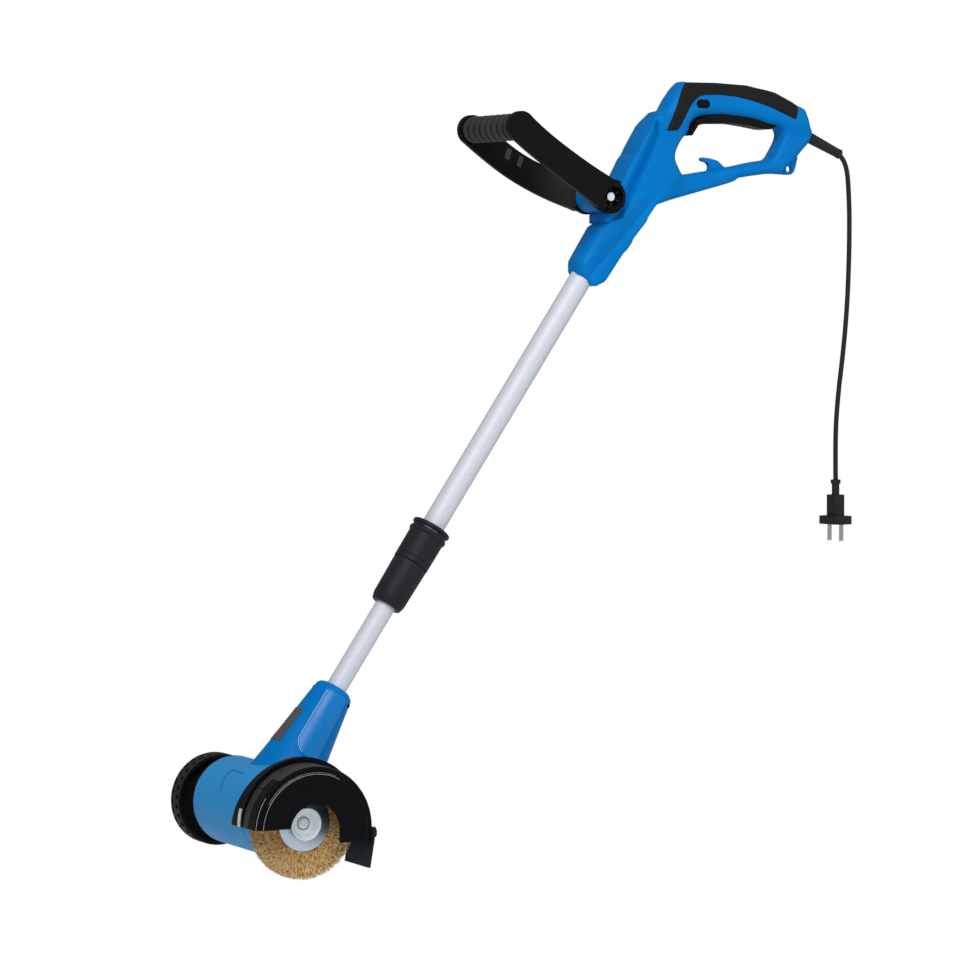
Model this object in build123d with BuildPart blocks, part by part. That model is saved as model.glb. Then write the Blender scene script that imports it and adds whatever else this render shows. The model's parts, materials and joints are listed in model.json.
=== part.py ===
from build123d import *
import math
import os

# An electric joint brush: a motor head with a wire brush, a guard and a wheel, on a telescopic pole that
# ends in a loop handle with a second tilting handle. Millimetres, +Z up, in its working attitude. The origin
# is the middle of the main grip, -Y is the brush's side, +X runs from the head to the handle, and the pole
# lies in the plane Y = 0.

os.makedirs("parts", exist_ok=True)

# Clearances
seat_gap = 0.05
run_gap = 0.08
free_gap = 0.5

# Where the pole ends inside the handle, its length from there down to the spindle, and how it leans
pole_end_x = -143.8924
pole_end_z = -110.7749
pole_length = 775.0
pole_angle = 55.5
pole_offset = 2.6

# Motor housing
housing_radius = 46.6
housing_wall = 3.0
housing_rise = 4.3
housing_far_y = 66.0
seam_y = -38.0
cover_near_y = -70.0
end_cap_thickness = 4.0
end_cap_spigot = 6.0
end_cap_round = 2.0
rib_count = 4
rib_width = 8.0

# Motor
shaft_radius = 4.0
stack_near_y = -18.0
stack_length = 40.0
stator_inset = 3.3
yoke_thickness = 7.0
air_gap = 0.6
armature_radius = 19.0
armature_slots = 12
slot_depth = 5.0
slot_width = 2.4
pole_shoe_angle = 52.0
coil_side_angle = 22.0
coil_overhang = 6.5
winding_length = 8.0
winding_radius = 17.0
commutator_radius = 11.0
commutator_length = 14.0
commutator_bars = 24
bar_slot = 0.5
carbon_length = 15.0
carbon_width = 6.0
carbon_height = 9.0
holder_wall = 1.6
fan_radius = 30.0
fan_length = 8.0
fan_blades = 9
fan_plate = 2.0
blade_thickness = 1.6
bearing_radius = 11.0
bearing_width = 7.0
bulkhead_thickness = 8.0

# Planetary gearbox: tooth numbers give a reduction of one to five
gear_module = 1.2
sun_teeth = 12
planet_teeth = 18
ring_teeth = sun_teeth + 2 * planet_teeth
planet_count = 3
gear_width = 9.0
tooth_rise = 0.95
tooth_fall = 1.25
ring_wall = 3.5
planet_pin_radius = 3.0
carrier_thickness = 4.0

# Spindle and brush
spindle_radius = 6.0
spindle_bearing_radius = 14.0
spindle_bearing_width = 8.0
nose_wall = 4.4
nose_lip = 3.0
brush_bore_radius = 5.0
brush_middle_y = -101.5
brush_radius = 57.9
brush_root_width = 7.5
brush_rim_width = 14.0
plate_radius = 28.5
plate_thickness = 1.5
rear_flange_radius = 17.0
rear_flange_thickness = 4.0
dish_radius = 17.0
dish_hole_radius = 14.0
dish_floor_radius = 11.4
dish_floor = 1.2
dish_sink = 1.6
dish_height = 5.8
bolt_radius = 3.0
bolt_head_radius = 4.6
bolt_head_height = 2.7
bolt_socket_radius = 2.3
bolt_length = 16.0

# Guard
guard_front_y = -134.0
guard_edge_y = -128.0
guard_step_y = -100.0
guard_rear_y = -74.0
guard_slant_y = -75.0
guard_slant = 0.27
guard_shift = -0.5
guard_drop = 4.5
guard_clearance = 0.9
guard_plate = 2.5
guard_wall = 2.7
guard_rear_wall = 3.0
guard_face_inset = 9.0
guard_cone_inset = 17.0
notch_radius = 28.0
guard_left_z = -0.3
guard_right_z = -18.0
guard_screw_inset = 7.6
guard_screw_angles = (40, 90, 140)
screw_radius = 2.0
screw_head_radius = 4.0
screw_head_height = 2.6
screw_depth = 12.0
pad_face_x = 65.6
flap_thickness = 2.0
flap_top_z = -5.0
flap_bottom_z = -46.5
flap_lean = 5.0
flap_far_y = -76.0
flap_near_y = -132.0
flap_knob_y = -122.0
flap_knob_radius = 5.5
flap_knob_height = 5.0

# Wheel
wheel_radius = 49.0
wheel_near_y = 101.0
wheel_far_y = 121.0
rim_thickness = 4.6
rim_chamfer = 1.5
web_thickness = 4.0
web_near_y = 112.0
hub_radius = 12.0
hub_near_y = 95.0
tread_count = 30
tread_length = 4.6
tread_depth = 1.6
tread_width = 6.0
axle_radius = 5.0
axle_boss_radius = 13.0
axle_boss_length = 14.0
axle_depth = 20.0
axle_head_radius = 9.0
axle_head_height = 4.4
spacer_radius = 9.0

# Neck, by distance along the pole
neck_top_s = 152.0
neck_low_s = 20.0
neck_top_radius = 20.0
neck_flare = 9.5
neck_wall = 3.5
tube_seat_s = 100.0
seat_floor = 6.0
neck_round = 4.0
panel_rise = 1.6
panel_top_s = 146.0
panel_low_s = 78.0
panel_front_t = 18.0
panel_rear_t = 9.0
panel_round = 10.0
label_low_s = 71.0
label_top_s = 115.0
label_half_angle = 24.0
label_thickness = 0.9
neck_screw_s = 142.0
neck_screw_radius = 1.6
neck_screw_head_radius = 2.9
neck_screw_head_height = 2.4
neck_screw_reach = 9.0

# Pole
lower_tube_radius = 11.0
upper_tube_radius = 12.5
tube_wall = 1.2
tube_overlap = 188.0
tube_hold = 22.0
bush_length = 12.0
bush_spigot = 12.0
bush_bore = 7.0
lead_radius = 4.5
lead_end_gap = 175.0
clamp_low_s = 256.0
clamp_split_s = 304.0
clamp_top_s = 357.5
clamp_lip = 5.0
nut_low_radius = 16.2
nut_shoulder_radius = 18.0
nut_top_radius = 19.5
nut_bottom_taper = 6.0
clamp_stub_radius = 15.2
clamp_stub_length = 24.0
collar_radius = 20.0
collar_ring_radius = 21.3
collar_top_radius = 22.6
collar_top_height = 7.5
collar_ring_height = 4.0
collet_radius = 14.4
collet_slit = 2.0

# Handle, as points of its side view and half widths across
body_half_width = 20.5
grip_half_width = 17.0
bar_half_width = 14.0
body_round = 7.0
grip_round = 3.0
bar_round = 5.0
shell_wall = 2.6
edge_wall = 4.0
socket_depth = 103.0
cavity_gap = 10.0
body_reach = 67.0
pivot_x = -178.5
pivot_z = -104.5
barrel_radius = 16.5
barrel_half_length = 21.0
eye_x = 65.5
eye_z = -70.5
eye_bore = 3.4
eye_half_width = 5.0
hook_half_width = 4.0
grip_skin = 1.5
boss_radius = 4.2
handle_screw_radius = 1.8
handle_screw_head_radius = 3.2
handle_screw_head_height = 2.4
handle_screw_reach = 8.0

# Trigger, switch and lock button
trigger_half_width = 11.5
trigger_pivot_x = 37.0
trigger_pivot_z = -18.5
trigger_pin_radius = 2.0
trigger_boss_radius = 4.6
switch_x = -30.0
switch_z = 6.0
switch_length = 28.0
switch_height = 12.0
switch_half_width = 8.0
switch_post_radius = 3.0
switch_post_pitch = 16.0
button_x = -55.3
button_z = -1.5
button_length = 12.0
button_height = 5.6
button_proud = 0.4
button_inner_y = -8.0
button_flange = 1.5
button_recess = 1.2
button_recess_margin = 1.8

# Second handle
bail_reach_x = -126.5
bail_reach_z = 72.0
bail_eye_radius = 18.4
bail_end_radius = 16.4
bail_middle_radius = 15.8
bail_sag = 6.6
bail_arm_thickness = 6.0
bail_spread = 58.0
bail_bend_start = 9.0
bail_bend_middle = 45.0
bail_bend_end = 100.0
bail_bend_inner = 43.5
bail_bar_radius = 8.0
bail_grip_radius = 14.5
bail_grip_rings = 8
bail_ring_groove = 1.6
bail_boss_radius = 13.4
bail_boss_height = 6.5
bail_boss_turn = 325
bail_boss_half_turn = 95
bail_recess_radius = 11.4
bail_pocket_radius = 10.6
bail_pocket_hub = 6.2
bail_pocket_depth = 3.6
bail_pocket_ribs = 6
pivot_bolt_radius = 3.6
pivot_head_radius = 4.6
pivot_head_height = 3.0
pivot_nut_radius = 6.5
pivot_nut_height = 4.0

# Mains lead
relief_x = 91.0
relief_z = -29.5
relief_angle = -21.0
relief_length = 43.0
relief_radius = 5.4
relief_tip_radius = 4.0
relief_flange = 3.0
relief_flange_radius = 7.0
relief_wall = 6.2
relief_neck_radius = 4.6
cord_diameter = 5.5
cord_lead_out = 12.0
cord_route = [
    (149.4, -59.0),
    (151.0, -84.0),
    (151.4, -122.0),
    (150.8, -172.0),
    (148.4, -224.0),
    (143.2, -275.0),
    (135.9, -325.0),
    (131.6, -372.0),
    (131.6, -419.0),
]
plug_collar_radius = 5.6
plug_collar_height = 4.5
plug_neck_radius = 4.3
plug_neck_height = 12.5
plug_body_width = 19.0
plug_body_depth = 15.0
plug_body_height = 24.0
plug_flange_width = 36.0
plug_flange_depth = 26.0
plug_flange_height = 9.0
plug_pin_radius = 2.4
plug_pin_root = 3.1
plug_pin_pitch = 19.0
plug_pin_length = 19.0
plug_turn = -80.0

# Frames: the spindle lies along Y, and the pole is measured along itself (s) and forwards from its axis (t)
lean = math.radians(pole_angle)
pole_direction = Vector(math.cos(lean), 0, math.sin(lean))
pole_front = Vector(-math.sin(lean), 0, math.cos(lean))
pole_foot = Vector(pole_end_x, 0, pole_end_z) - pole_direction * pole_length
spindle_place = pole_foot + pole_front * pole_offset
motor_x = spindle_place.X
motor_z = spindle_place.Z
guard_screw_circle = housing_radius - guard_screw_inset
upper_tube_low_s = clamp_split_s - tube_hold
lower_tube_top_s = upper_tube_low_s + tube_overlap
upper_tube_top_s = pole_length
lead_top_s = upper_tube_top_s - lead_end_gap
socket_low_s = upper_tube_top_s - socket_depth
cavity_low_s = upper_tube_top_s + cavity_gap
body_top_s = upper_tube_top_s + body_reach
spindle_axis = Axis((motor_x, 0, motor_z), (0, 1, 0))
spindle_section = Plane(origin=(motor_x, 0, motor_z), x_dir=(0, 1, 0), z_dir=(1, 0, 0))
housing_axis = Axis((motor_x, 0, motor_z + housing_rise), (0, 1, 0))
housing_section = Plane(origin=(motor_x, 0, motor_z + housing_rise), x_dir=(0, 1, 0), z_dir=(1, 0, 0))
guard_axis = Axis((motor_x + guard_shift, 0, motor_z - guard_drop), (0, 1, 0))
guard_section = Plane(
    origin=(motor_x + guard_shift, 0, motor_z - guard_drop), x_dir=(0, 1, 0), z_dir=(1, 0, 0),
)
pole_axis = Axis(pole_foot, pole_direction)
pole_side = Plane(origin=pole_foot, x_dir=pole_direction, z_dir=(0, -1, 0))
pivot_axis = Axis((pivot_x, 0, pivot_z), (0, 1, 0))
pivot_section = Plane(origin=(pivot_x, 0, pivot_z), x_dir=(0, 1, 0), z_dir=(1, 0, 0))


def spindle_face(y):
    """A plane across the spindle, with X across, Z up and its normal to the brush's side."""
    return Plane(origin=(motor_x, y, motor_z), x_dir=(1, 0, 0), z_dir=(0, -1, 0))


def side_face(y):
    """A plane parallel to the handle's side view, with its normal to the brush's side."""
    return Plane(origin=(0, y, 0), x_dir=(1, 0, 0), z_dir=(0, -1, 0))


def pole_face(s):
    """A plane across the pole, with Y across and the pole's front up."""
    return Plane(origin=pole_foot + pole_direction * s, x_dir=(0, 1, 0), z_dir=pole_direction)


def on_side(s, t):
    """The side view's X and Z of a point at s along the pole and t in front of its axis."""
    point = pole_foot + pole_direction * s + pole_front * t
    return (point.X, point.Z)


def ring_outline(start, end, inner, outer):
    return [(start, inner), (start, outer), (end, outer), (end, inner)]


def bearing_outline(start, end, bore, outside):
    """A ball bearing's section: two rings with sunk shields between them."""
    sink = (end - start) / 8
    land = (outside - bore) / 4
    return [
        (start, bore), (start, bore + land), (start + sink, bore + land), (start + sink, outside - land),
        (start, outside - land), (start, outside), (end, outside), (end, outside - land),
        (end - sink, outside - land), (end - sink, bore + land), (end, bore + land), (end, bore),
    ]


def sector(inner, outer, middle, half_angle, mode=Mode.ADD):
    """Draws a piece of a ring about the sketch's origin."""
    with BuildLine() as border:
        outer_arc = CenterArc((0, 0), outer, middle - half_angle, 2 * half_angle)
        inner_arc = CenterArc((0, 0), inner, middle - half_angle, 2 * half_angle)
        Line(outer_arc @ 0, inner_arc @ 0)
        Line(outer_arc @ 1, inner_arc @ 1)
    make_face(border.edges(), mode=mode)


def gear_outline(teeth, tip_radius, root_radius, first_tooth):
    """Straight sided teeth, thinner than their gaps so that they run with play."""
    pitch = 2 * math.pi / teeth
    corners = ((root_radius, -0.27), (tip_radius, -0.11), (tip_radius, 0.11), (root_radius, 0.27))
    points = []
    for tooth in range(teeth):
        for radius, share in corners:
            angle = first_tooth + (tooth + share) * pitch
            points.append((radius * math.cos(angle), radius * math.sin(angle)))
    return points


def polygon_face(points, mode=Mode.ADD):
    """Draws a closed polygon from its corners, where they stand."""
    Polygon(*points, align=None, mode=mode)


def save(piece, name):
    piece.part.label = name
    export_step(piece.part, "parts/" + name + ".step")


# Stations along the spindle, from the wheel's side to the brush's side
housing_bore = housing_radius - housing_rise - housing_wall
stator_radius = housing_bore - stator_inset
stack_far_y = stack_near_y + stack_length
commutator_near_y = stack_far_y + winding_length + 1
commutator_far_y = commutator_near_y + commutator_length
rear_bearing_near_y = commutator_far_y + 4
rear_bearing_far_y = rear_bearing_near_y + bearing_width
fan_far_y = stack_near_y - winding_length - 2
bulkhead_near_y = seam_y - bulkhead_thickness
front_bearing_near_y = seam_y - bearing_width
gear_far_y = bulkhead_near_y - 2
gear_near_y = gear_far_y - gear_width
ring_near_y = gear_near_y - 1
carrier_far_y = ring_near_y - 1
carrier_near_y = carrier_far_y - carrier_thickness
cavity_near_y = carrier_near_y - 2
spindle_bearing_near_y = cavity_near_y - 2 - spindle_bearing_width
nose_y = spindle_bearing_near_y - nose_lip
cap_far_y = housing_far_y + end_cap_thickness
boss_far_y = cap_far_y + axle_boss_length
plates_near_y = brush_middle_y - brush_root_width / 2
plates_far_y = brush_middle_y + brush_root_width / 2
plate_outer_near_y = plates_near_y - plate_thickness
plate_outer_far_y = plates_far_y + plate_thickness
shoulder_y = plate_outer_far_y + rear_flange_thickness
dish_seat_y = brush_middle_y - dish_sink
dish_floor_y = dish_seat_y - dish_floor
dish_front_y = plate_outer_near_y - dish_height
spindle_end_y = dish_seat_y + free_gap

# Motor housing: a sleeve, a little above the spindle, with ribs for the stator and a passage for the lead
rib_inner = stator_radius + seat_gap
rib_outer = housing_bore + housing_wall / 2
with BuildPart() as motor_housing:
    with BuildSketch(housing_section):
        Polygon(*ring_outline(seam_y, housing_far_y, 0, housing_radius), align=None)
    revolve(axis=housing_axis)
    with BuildSketch(spindle_face(housing_far_y)):
        Circle(housing_bore)
    extrude(amount=housing_far_y - seam_y, mode=Mode.SUBTRACT)
    with BuildSketch(spindle_face(stack_far_y)):
        with PolarLocations((rib_inner + rib_outer) / 2, rib_count, start_angle=10):
            Rectangle(rib_outer - rib_inner, rib_width)
    extrude(amount=stack_length)
    with BuildSketch(pole_face(stator_radius)):
        Circle(lead_radius + free_gap)
    extrude(amount=housing_radius, mode=Mode.SUBTRACT)
save(motor_housing, "motor_housing")

# Rear end cap: closes the housing, holds the shaft's rear bearing and the wheel's axle
spigot_radius = housing_bore - seat_gap
pocket_radius = bearing_radius + seat_gap
axle_floor_y = boss_far_y - axle_depth
spacer_far_y = hub_near_y - free_gap
with BuildPart() as rear_end_cap:
    with BuildSketch(housing_section):
        Polygon(*[
            (housing_far_y, 0), (housing_far_y, housing_radius),
            (cap_far_y - end_cap_round, housing_radius), (cap_far_y, housing_radius - end_cap_round),
            (cap_far_y, 0),
        ], align=None)
    revolve(axis=housing_axis)
    spigot_near_y = housing_far_y - end_cap_spigot
    with BuildSketch(spindle_section):
        Polygon(*[
            (rear_bearing_near_y, 0), (rear_bearing_near_y, pocket_radius + housing_wall),
            (cap_far_y, pocket_radius + housing_wall), (cap_far_y, axle_boss_radius),
            (boss_far_y, axle_boss_radius), (boss_far_y, spacer_radius),
            (spacer_far_y, spacer_radius), (spacer_far_y, 0),
        ], align=None)
    with BuildSketch(spindle_section):
        Polygon(*ring_outline(
            spigot_near_y, housing_far_y + end_cap_round, spigot_radius - housing_wall, spigot_radius,
        ), align=None)
    revolve(axis=spindle_axis)
    with BuildSketch(spindle_section):
        Polygon(*ring_outline(rear_bearing_near_y, rear_bearing_far_y, 0, pocket_radius), align=None)
    with BuildSketch(spindle_section):
        Polygon(*ring_outline(axle_floor_y, spacer_far_y, 0, axle_radius + seat_gap), align=None)
    revolve(axis=spindle_axis, mode=Mode.SUBTRACT)
save(rear_end_cap, "rear_end_cap")

# Stator core: a yoke with two pole shoes, and windows beside them for the coils
stator_bore = armature_radius + air_gap
yoke_inner = stator_radius - yoke_thickness
with BuildPart() as stator_core:
    with BuildSketch(spindle_face(stack_far_y)):
        Circle(stator_radius)
        Circle(stator_bore, mode=Mode.SUBTRACT)
        for side in (0, 180):
            sector(stator_bore - 1, yoke_inner, side, 90 - pole_shoe_angle, mode=Mode.SUBTRACT)
    extrude(amount=stack_length)
save(stator_core, "stator_core")

# Field coils: one round each pole shoe, through the windows and past the core's ends
with BuildPart() as field_coils:
    with BuildSketch(spindle_face(stack_far_y + coil_overhang)):
        for side in (90, 270):
            sector(stator_bore + air_gap, yoke_inner - seat_gap, side, pole_shoe_angle + coil_side_angle)
    extrude(amount=stack_length + 2 * coil_overhang)
    with BuildSketch(spindle_face(stack_far_y + seat_gap)):
        for side in (90, 270):
            sector(stator_bore / 2, stator_radius, side, pole_shoe_angle + 0.2)
    extrude(amount=stack_length + 2 * seat_gap, mode=Mode.SUBTRACT)
save(field_coils, "field_coils")

# Armature: shaft, slotted core, end windings, commutator and fan
with BuildPart() as motor_shaft:
    with BuildSketch(spindle_section):
        Polygon(*ring_outline(gear_near_y, rear_bearing_far_y - 1, 0, shaft_radius), align=None)
    revolve(axis=spindle_axis)
save(motor_shaft, "motor_shaft")

with BuildPart() as armature_core:
    with BuildSketch(spindle_face(stack_far_y)):
        Circle(armature_radius)
        Circle(shaft_radius + seat_gap, mode=Mode.SUBTRACT)
        with PolarLocations(armature_radius - slot_depth / 2, armature_slots):
            Rectangle(slot_depth + 1, slot_width, mode=Mode.SUBTRACT)
    extrude(amount=stack_length)
save(armature_core, "armature_core")

with BuildPart() as armature_windings:
    for start in (stack_far_y, stack_near_y - winding_length):
        end = start + winding_length
        with BuildSketch(spindle_section):
            Polygon(*[
                (start, shaft_radius + seat_gap), (start, winding_radius), (start + 1, winding_radius),
                (end - 1, winding_radius), (end, winding_radius - 2), (end, shaft_radius + seat_gap),
            ], align=None)
    revolve(axis=spindle_axis)
save(armature_windings, "armature_windings")

with BuildPart() as commutator:
    with BuildSketch(spindle_face(commutator_far_y)):
        Circle(commutator_radius)
        Circle(shaft_radius + seat_gap, mode=Mode.SUBTRACT)
        with PolarLocations(commutator_radius, commutator_bars):
            Rectangle(2 * bar_slot, bar_slot, mode=Mode.SUBTRACT)
    extrude(amount=commutator_length)
save(commutator, "commutator")

with BuildPart() as cooling_fan:
    with BuildSketch(spindle_face(fan_far_y)):
        Circle(2 * shaft_radius)
        with PolarLocations((fan_radius + 2 * shaft_radius) / 2, fan_blades):
            Rectangle(fan_radius - 2 * shaft_radius + 1, blade_thickness)
        Circle(shaft_radius + seat_gap, mode=Mode.SUBTRACT)
    extrude(amount=fan_length)
    with BuildSketch(spindle_face(fan_far_y - fan_length + fan_plate)):
        Circle(fan_radius)
        Circle(shaft_radius + seat_gap, mode=Mode.SUBTRACT)
    extrude(amount=fan_plate)
save(cooling_fan, "cooling_fan")

# Carbon brushes on both sides of the commutator, in holders that reach the housing
carbon_inner = commutator_radius + free_gap / 2
carbon_middle_y = (commutator_near_y + commutator_far_y) / 2
holder_inner = commutator_radius + 3
with BuildPart() as carbon_brushes:
    with BuildSketch(spindle_face(carbon_middle_y + carbon_height / 2)):
        with PolarLocations(carbon_inner + carbon_length / 2, 2):
            Rectangle(carbon_length, carbon_width)
    extrude(amount=carbon_height)
save(carbon_brushes, "carbon_brushes")

holder_height = carbon_height + 2 * holder_wall
holder_width = carbon_width + 2 * holder_wall
holder_outer = math.sqrt((housing_bore - seat_gap) ** 2 - (holder_width / 2) ** 2)
with BuildPart() as brush_holders:
    with BuildSketch(spindle_face(carbon_middle_y + holder_height / 2)):
        with PolarLocations((holder_inner + holder_outer) / 2, 2):
            Rectangle(holder_outer - holder_inner, holder_width)
    extrude(amount=holder_height)
    with BuildSketch(spindle_face(carbon_middle_y + carbon_height / 2 + seat_gap)):
        with PolarLocations(carbon_inner + carbon_length / 2, 2):
            Rectangle(carbon_length + 2 * seat_gap, carbon_width + 2 * seat_gap)
    extrude(amount=carbon_height + 2 * seat_gap, mode=Mode.SUBTRACT)
save(brush_holders, "brush_holders")

# Shaft bearings, and the bulkhead that carries the front one between motor and gears
shaft_seat = shaft_radius + run_gap
with BuildPart() as shaft_bearing_rear:
    with BuildSketch(spindle_section):
        Polygon(*bearing_outline(
            rear_bearing_near_y, rear_bearing_far_y, shaft_seat, bearing_radius,
        ), align=None)
    revolve(axis=spindle_axis)
save(shaft_bearing_rear, "shaft_bearing_rear")

with BuildPart() as shaft_bearing_front:
    with BuildSketch(spindle_section):
        Polygon(*bearing_outline(front_bearing_near_y, seam_y, shaft_seat, bearing_radius), align=None)
    revolve(axis=spindle_axis)
save(shaft_bearing_front, "shaft_bearing_front")

with BuildPart() as bulkhead:
    with BuildSketch(spindle_section):
        Polygon(*[
            (seam_y, pocket_radius), (seam_y, spigot_radius), (bulkhead_near_y, spigot_radius),
            (bulkhead_near_y, shaft_radius + free_gap), (front_bearing_near_y, shaft_radius + free_gap),
            (front_bearing_near_y, pocket_radius),
        ], align=None)
    revolve(axis=spindle_axis)
save(bulkhead, "bulkhead")

# Gears. The sun's first tooth and a ring tooth point along +X, where the first planet has gaps on both sides.
sun_pitch = gear_module * sun_teeth / 2
planet_pitch = gear_module * planet_teeth / 2
ring_pitch = gear_module * ring_teeth / 2
planet_circle = sun_pitch + planet_pitch
ring_outer = ring_pitch + tooth_fall + ring_wall
with BuildPart() as sun_gear:
    with BuildSketch(spindle_face(gear_far_y)):
        polygon_face(gear_outline(sun_teeth, sun_pitch + tooth_rise, sun_pitch - tooth_fall, 0))
        Circle(shaft_radius + seat_gap, mode=Mode.SUBTRACT)
    extrude(amount=gear_width)
save(sun_gear, "sun_gear")

for place in range(planet_count):
    planet_angle = 2 * math.pi * place / planet_count
    planet_x = planet_circle * math.cos(planet_angle)
    planet_z = planet_circle * math.sin(planet_angle)
    first_tooth = planet_angle + math.pi / planet_teeth
    planet_outline = gear_outline(
        planet_teeth, planet_pitch + tooth_rise, planet_pitch - tooth_fall, first_tooth,
    )
    with BuildPart() as planet_gear:
        with BuildSketch(spindle_face(gear_far_y)):
            polygon_face([(planet_x + x, planet_z + z) for x, z in planet_outline])
            with Locations((planet_x, planet_z)):
                Circle(planet_pin_radius + run_gap, mode=Mode.SUBTRACT)
        extrude(amount=gear_width)
    save(planet_gear, "planet_gear_" + "abc"[place])

with BuildPart() as ring_gear:
    with BuildSketch(spindle_face(bulkhead_near_y)):
        Circle(ring_outer)
        ring_inside = gear_outline(ring_teeth, ring_pitch - tooth_rise, ring_pitch + tooth_fall, 0)
        polygon_face(ring_inside, mode=Mode.SUBTRACT)
    extrude(amount=bulkhead_near_y - ring_near_y)
save(ring_gear, "ring_gear")

# Planet carrier and spindle in one piece: pins for the planets, a bearing seat and a shoulder for the brush
carrier_radius = planet_circle + planet_pin_radius + 2
with BuildPart() as planet_carrier:
    with BuildSketch(spindle_section):
        Polygon(*[
            (carrier_far_y, 0), (carrier_far_y, carrier_radius), (carrier_near_y, carrier_radius),
            (carrier_near_y, spindle_radius), (shoulder_y, spindle_radius), (shoulder_y, brush_bore_radius),
            (spindle_end_y, brush_bore_radius), (spindle_end_y, bolt_radius + seat_gap),
            (spindle_end_y + bolt_length, bolt_radius + seat_gap), (spindle_end_y + bolt_length, 0),
        ], align=None)
    revolve(axis=spindle_axis)
    with BuildSketch(spindle_face(gear_far_y)):
        with PolarLocations(planet_circle, planet_count):
            Circle(planet_pin_radius)
    extrude(amount=gear_far_y - carrier_far_y)
save(planet_carrier, "planet_carrier")

spindle_seat = spindle_radius + run_gap
with BuildPart() as spindle_bearing:
    spindle_bearing_far_y = spindle_bearing_near_y + spindle_bearing_width
    with BuildSketch(spindle_section):
        Polygon(*bearing_outline(
            spindle_bearing_near_y, spindle_bearing_far_y, spindle_seat, spindle_bearing_radius), align=None)
    revolve(axis=spindle_axis)
save(spindle_bearing, "spindle_bearing")

# Gearbox cover: holds the bulkhead, the ring gear and the spindle bearing, and carries the guard
nose_radius = spindle_bearing_radius + nose_wall
ring_seat = ring_outer + seat_gap
cover_bearing_seat = spindle_bearing_radius + seat_gap
with BuildPart() as gearbox_cover:
    with BuildSketch(housing_section):
        Polygon(*ring_outline(cover_near_y, seam_y, 0, housing_radius), align=None)
    revolve(axis=housing_axis)
    with BuildSketch(spindle_section):
        Polygon(*ring_outline(nose_y, cover_near_y + nose_wall, 0, nose_radius), align=None)
    revolve(axis=spindle_axis)
    with BuildSketch(spindle_section):
        Polygon(*[
            (seam_y, 0), (seam_y, housing_bore), (bulkhead_near_y, housing_bore),
            (bulkhead_near_y, ring_seat), (ring_near_y, ring_seat), (ring_near_y, carrier_radius + free_gap),
            (cavity_near_y, carrier_radius + free_gap), (cavity_near_y, cover_bearing_seat),
            (spindle_bearing_near_y, cover_bearing_seat), (spindle_bearing_near_y, spindle_radius + free_gap),
            (nose_y, spindle_radius + free_gap), (nose_y, 0),
        ], align=None)
    revolve(axis=spindle_axis, mode=Mode.SUBTRACT)
    with BuildSketch(spindle_face(cover_near_y + screw_depth)):
        for angle in guard_screw_angles:
            with PolarLocations(guard_screw_circle, 1, start_angle=angle):
                Circle(screw_radius + seat_gap)
    extrude(amount=screw_depth, mode=Mode.SUBTRACT)
save(gearbox_cover, "gearbox_cover")

# Brush: rear flange, two side plates, wires, and a dished flange with a socket head bolt sunk in it
plate_seat = brush_bore_radius + seat_gap
with BuildPart() as brush_rear_flange:
    with BuildSketch(spindle_section):
        Polygon(*ring_outline(plate_outer_far_y, shoulder_y, plate_seat, rear_flange_radius), align=None)
    revolve(axis=spindle_axis)
save(brush_rear_flange, "brush_rear_flange")

with BuildPart() as brush_side_plates:
    with BuildSketch(spindle_section):
        Polygon(*ring_outline(plates_far_y, plate_outer_far_y, plate_seat, plate_radius), align=None)
    with BuildSketch(spindle_section):
        Polygon(*ring_outline(plate_outer_near_y, plates_near_y, dish_hole_radius, plate_radius), align=None)
    revolve(axis=spindle_axis)
save(brush_side_plates, "brush_side_plates")

with BuildPart() as brush_wires:
    with BuildSketch(spindle_section):
        Polygon(*[
            (dish_seat_y + seat_gap, plate_seat),
            (dish_seat_y + seat_gap, dish_hole_radius),
            (plates_near_y + seat_gap, dish_hole_radius),
            (plates_near_y + seat_gap, plate_radius),
            (brush_middle_y - brush_rim_width / 2, brush_radius),
            (brush_middle_y + brush_rim_width / 2, brush_radius),
            (plates_far_y - seat_gap, plate_radius),
            (plates_far_y - seat_gap, plate_seat),
        ], align=None)
    revolve(axis=spindle_axis)
save(brush_wires, "brush_wires")

bolt_hole = bolt_radius + seat_gap
with BuildPart() as brush_dome_flange:
    with BuildSketch(spindle_section):
        Polygon(*[
            (dish_seat_y, bolt_hole), (dish_seat_y, dish_hole_radius - 2 * dish_floor),
            (plate_outer_near_y, dish_hole_radius - free_gap), (dish_front_y + dish_floor, dish_radius),
            (dish_front_y, dish_radius - dish_floor / 2), (dish_front_y, dish_radius - dish_floor),
            (dish_floor_y - dish_floor, dish_floor_radius + dish_floor / 2),
            (dish_floor_y, dish_floor_radius), (dish_floor_y, bolt_hole),
        ], align=None)
    revolve(axis=spindle_axis)
save(brush_dome_flange, "brush_dome_flange")

bolt_face_y = dish_floor_y - bolt_head_height
with BuildPart() as brush_bolt:
    with BuildSketch(spindle_section):
        Polygon(*[
            (spindle_end_y + bolt_length - 2, 0), (spindle_end_y + bolt_length - 2, bolt_radius),
            (dish_floor_y, bolt_radius), (dish_floor_y, bolt_head_radius),
            (bolt_face_y + 0.6, bolt_head_radius), (bolt_face_y, bolt_head_radius - 0.6), (bolt_face_y, 0),
        ], align=None)
    revolve(axis=spindle_axis)
    with BuildSketch(spindle_face(bolt_face_y)):
        RegularPolygon(bolt_socket_radius, 6)
    extrude(amount=-bolt_head_height / 2, mode=Mode.SUBTRACT)
save(brush_bolt, "brush_bolt")

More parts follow.
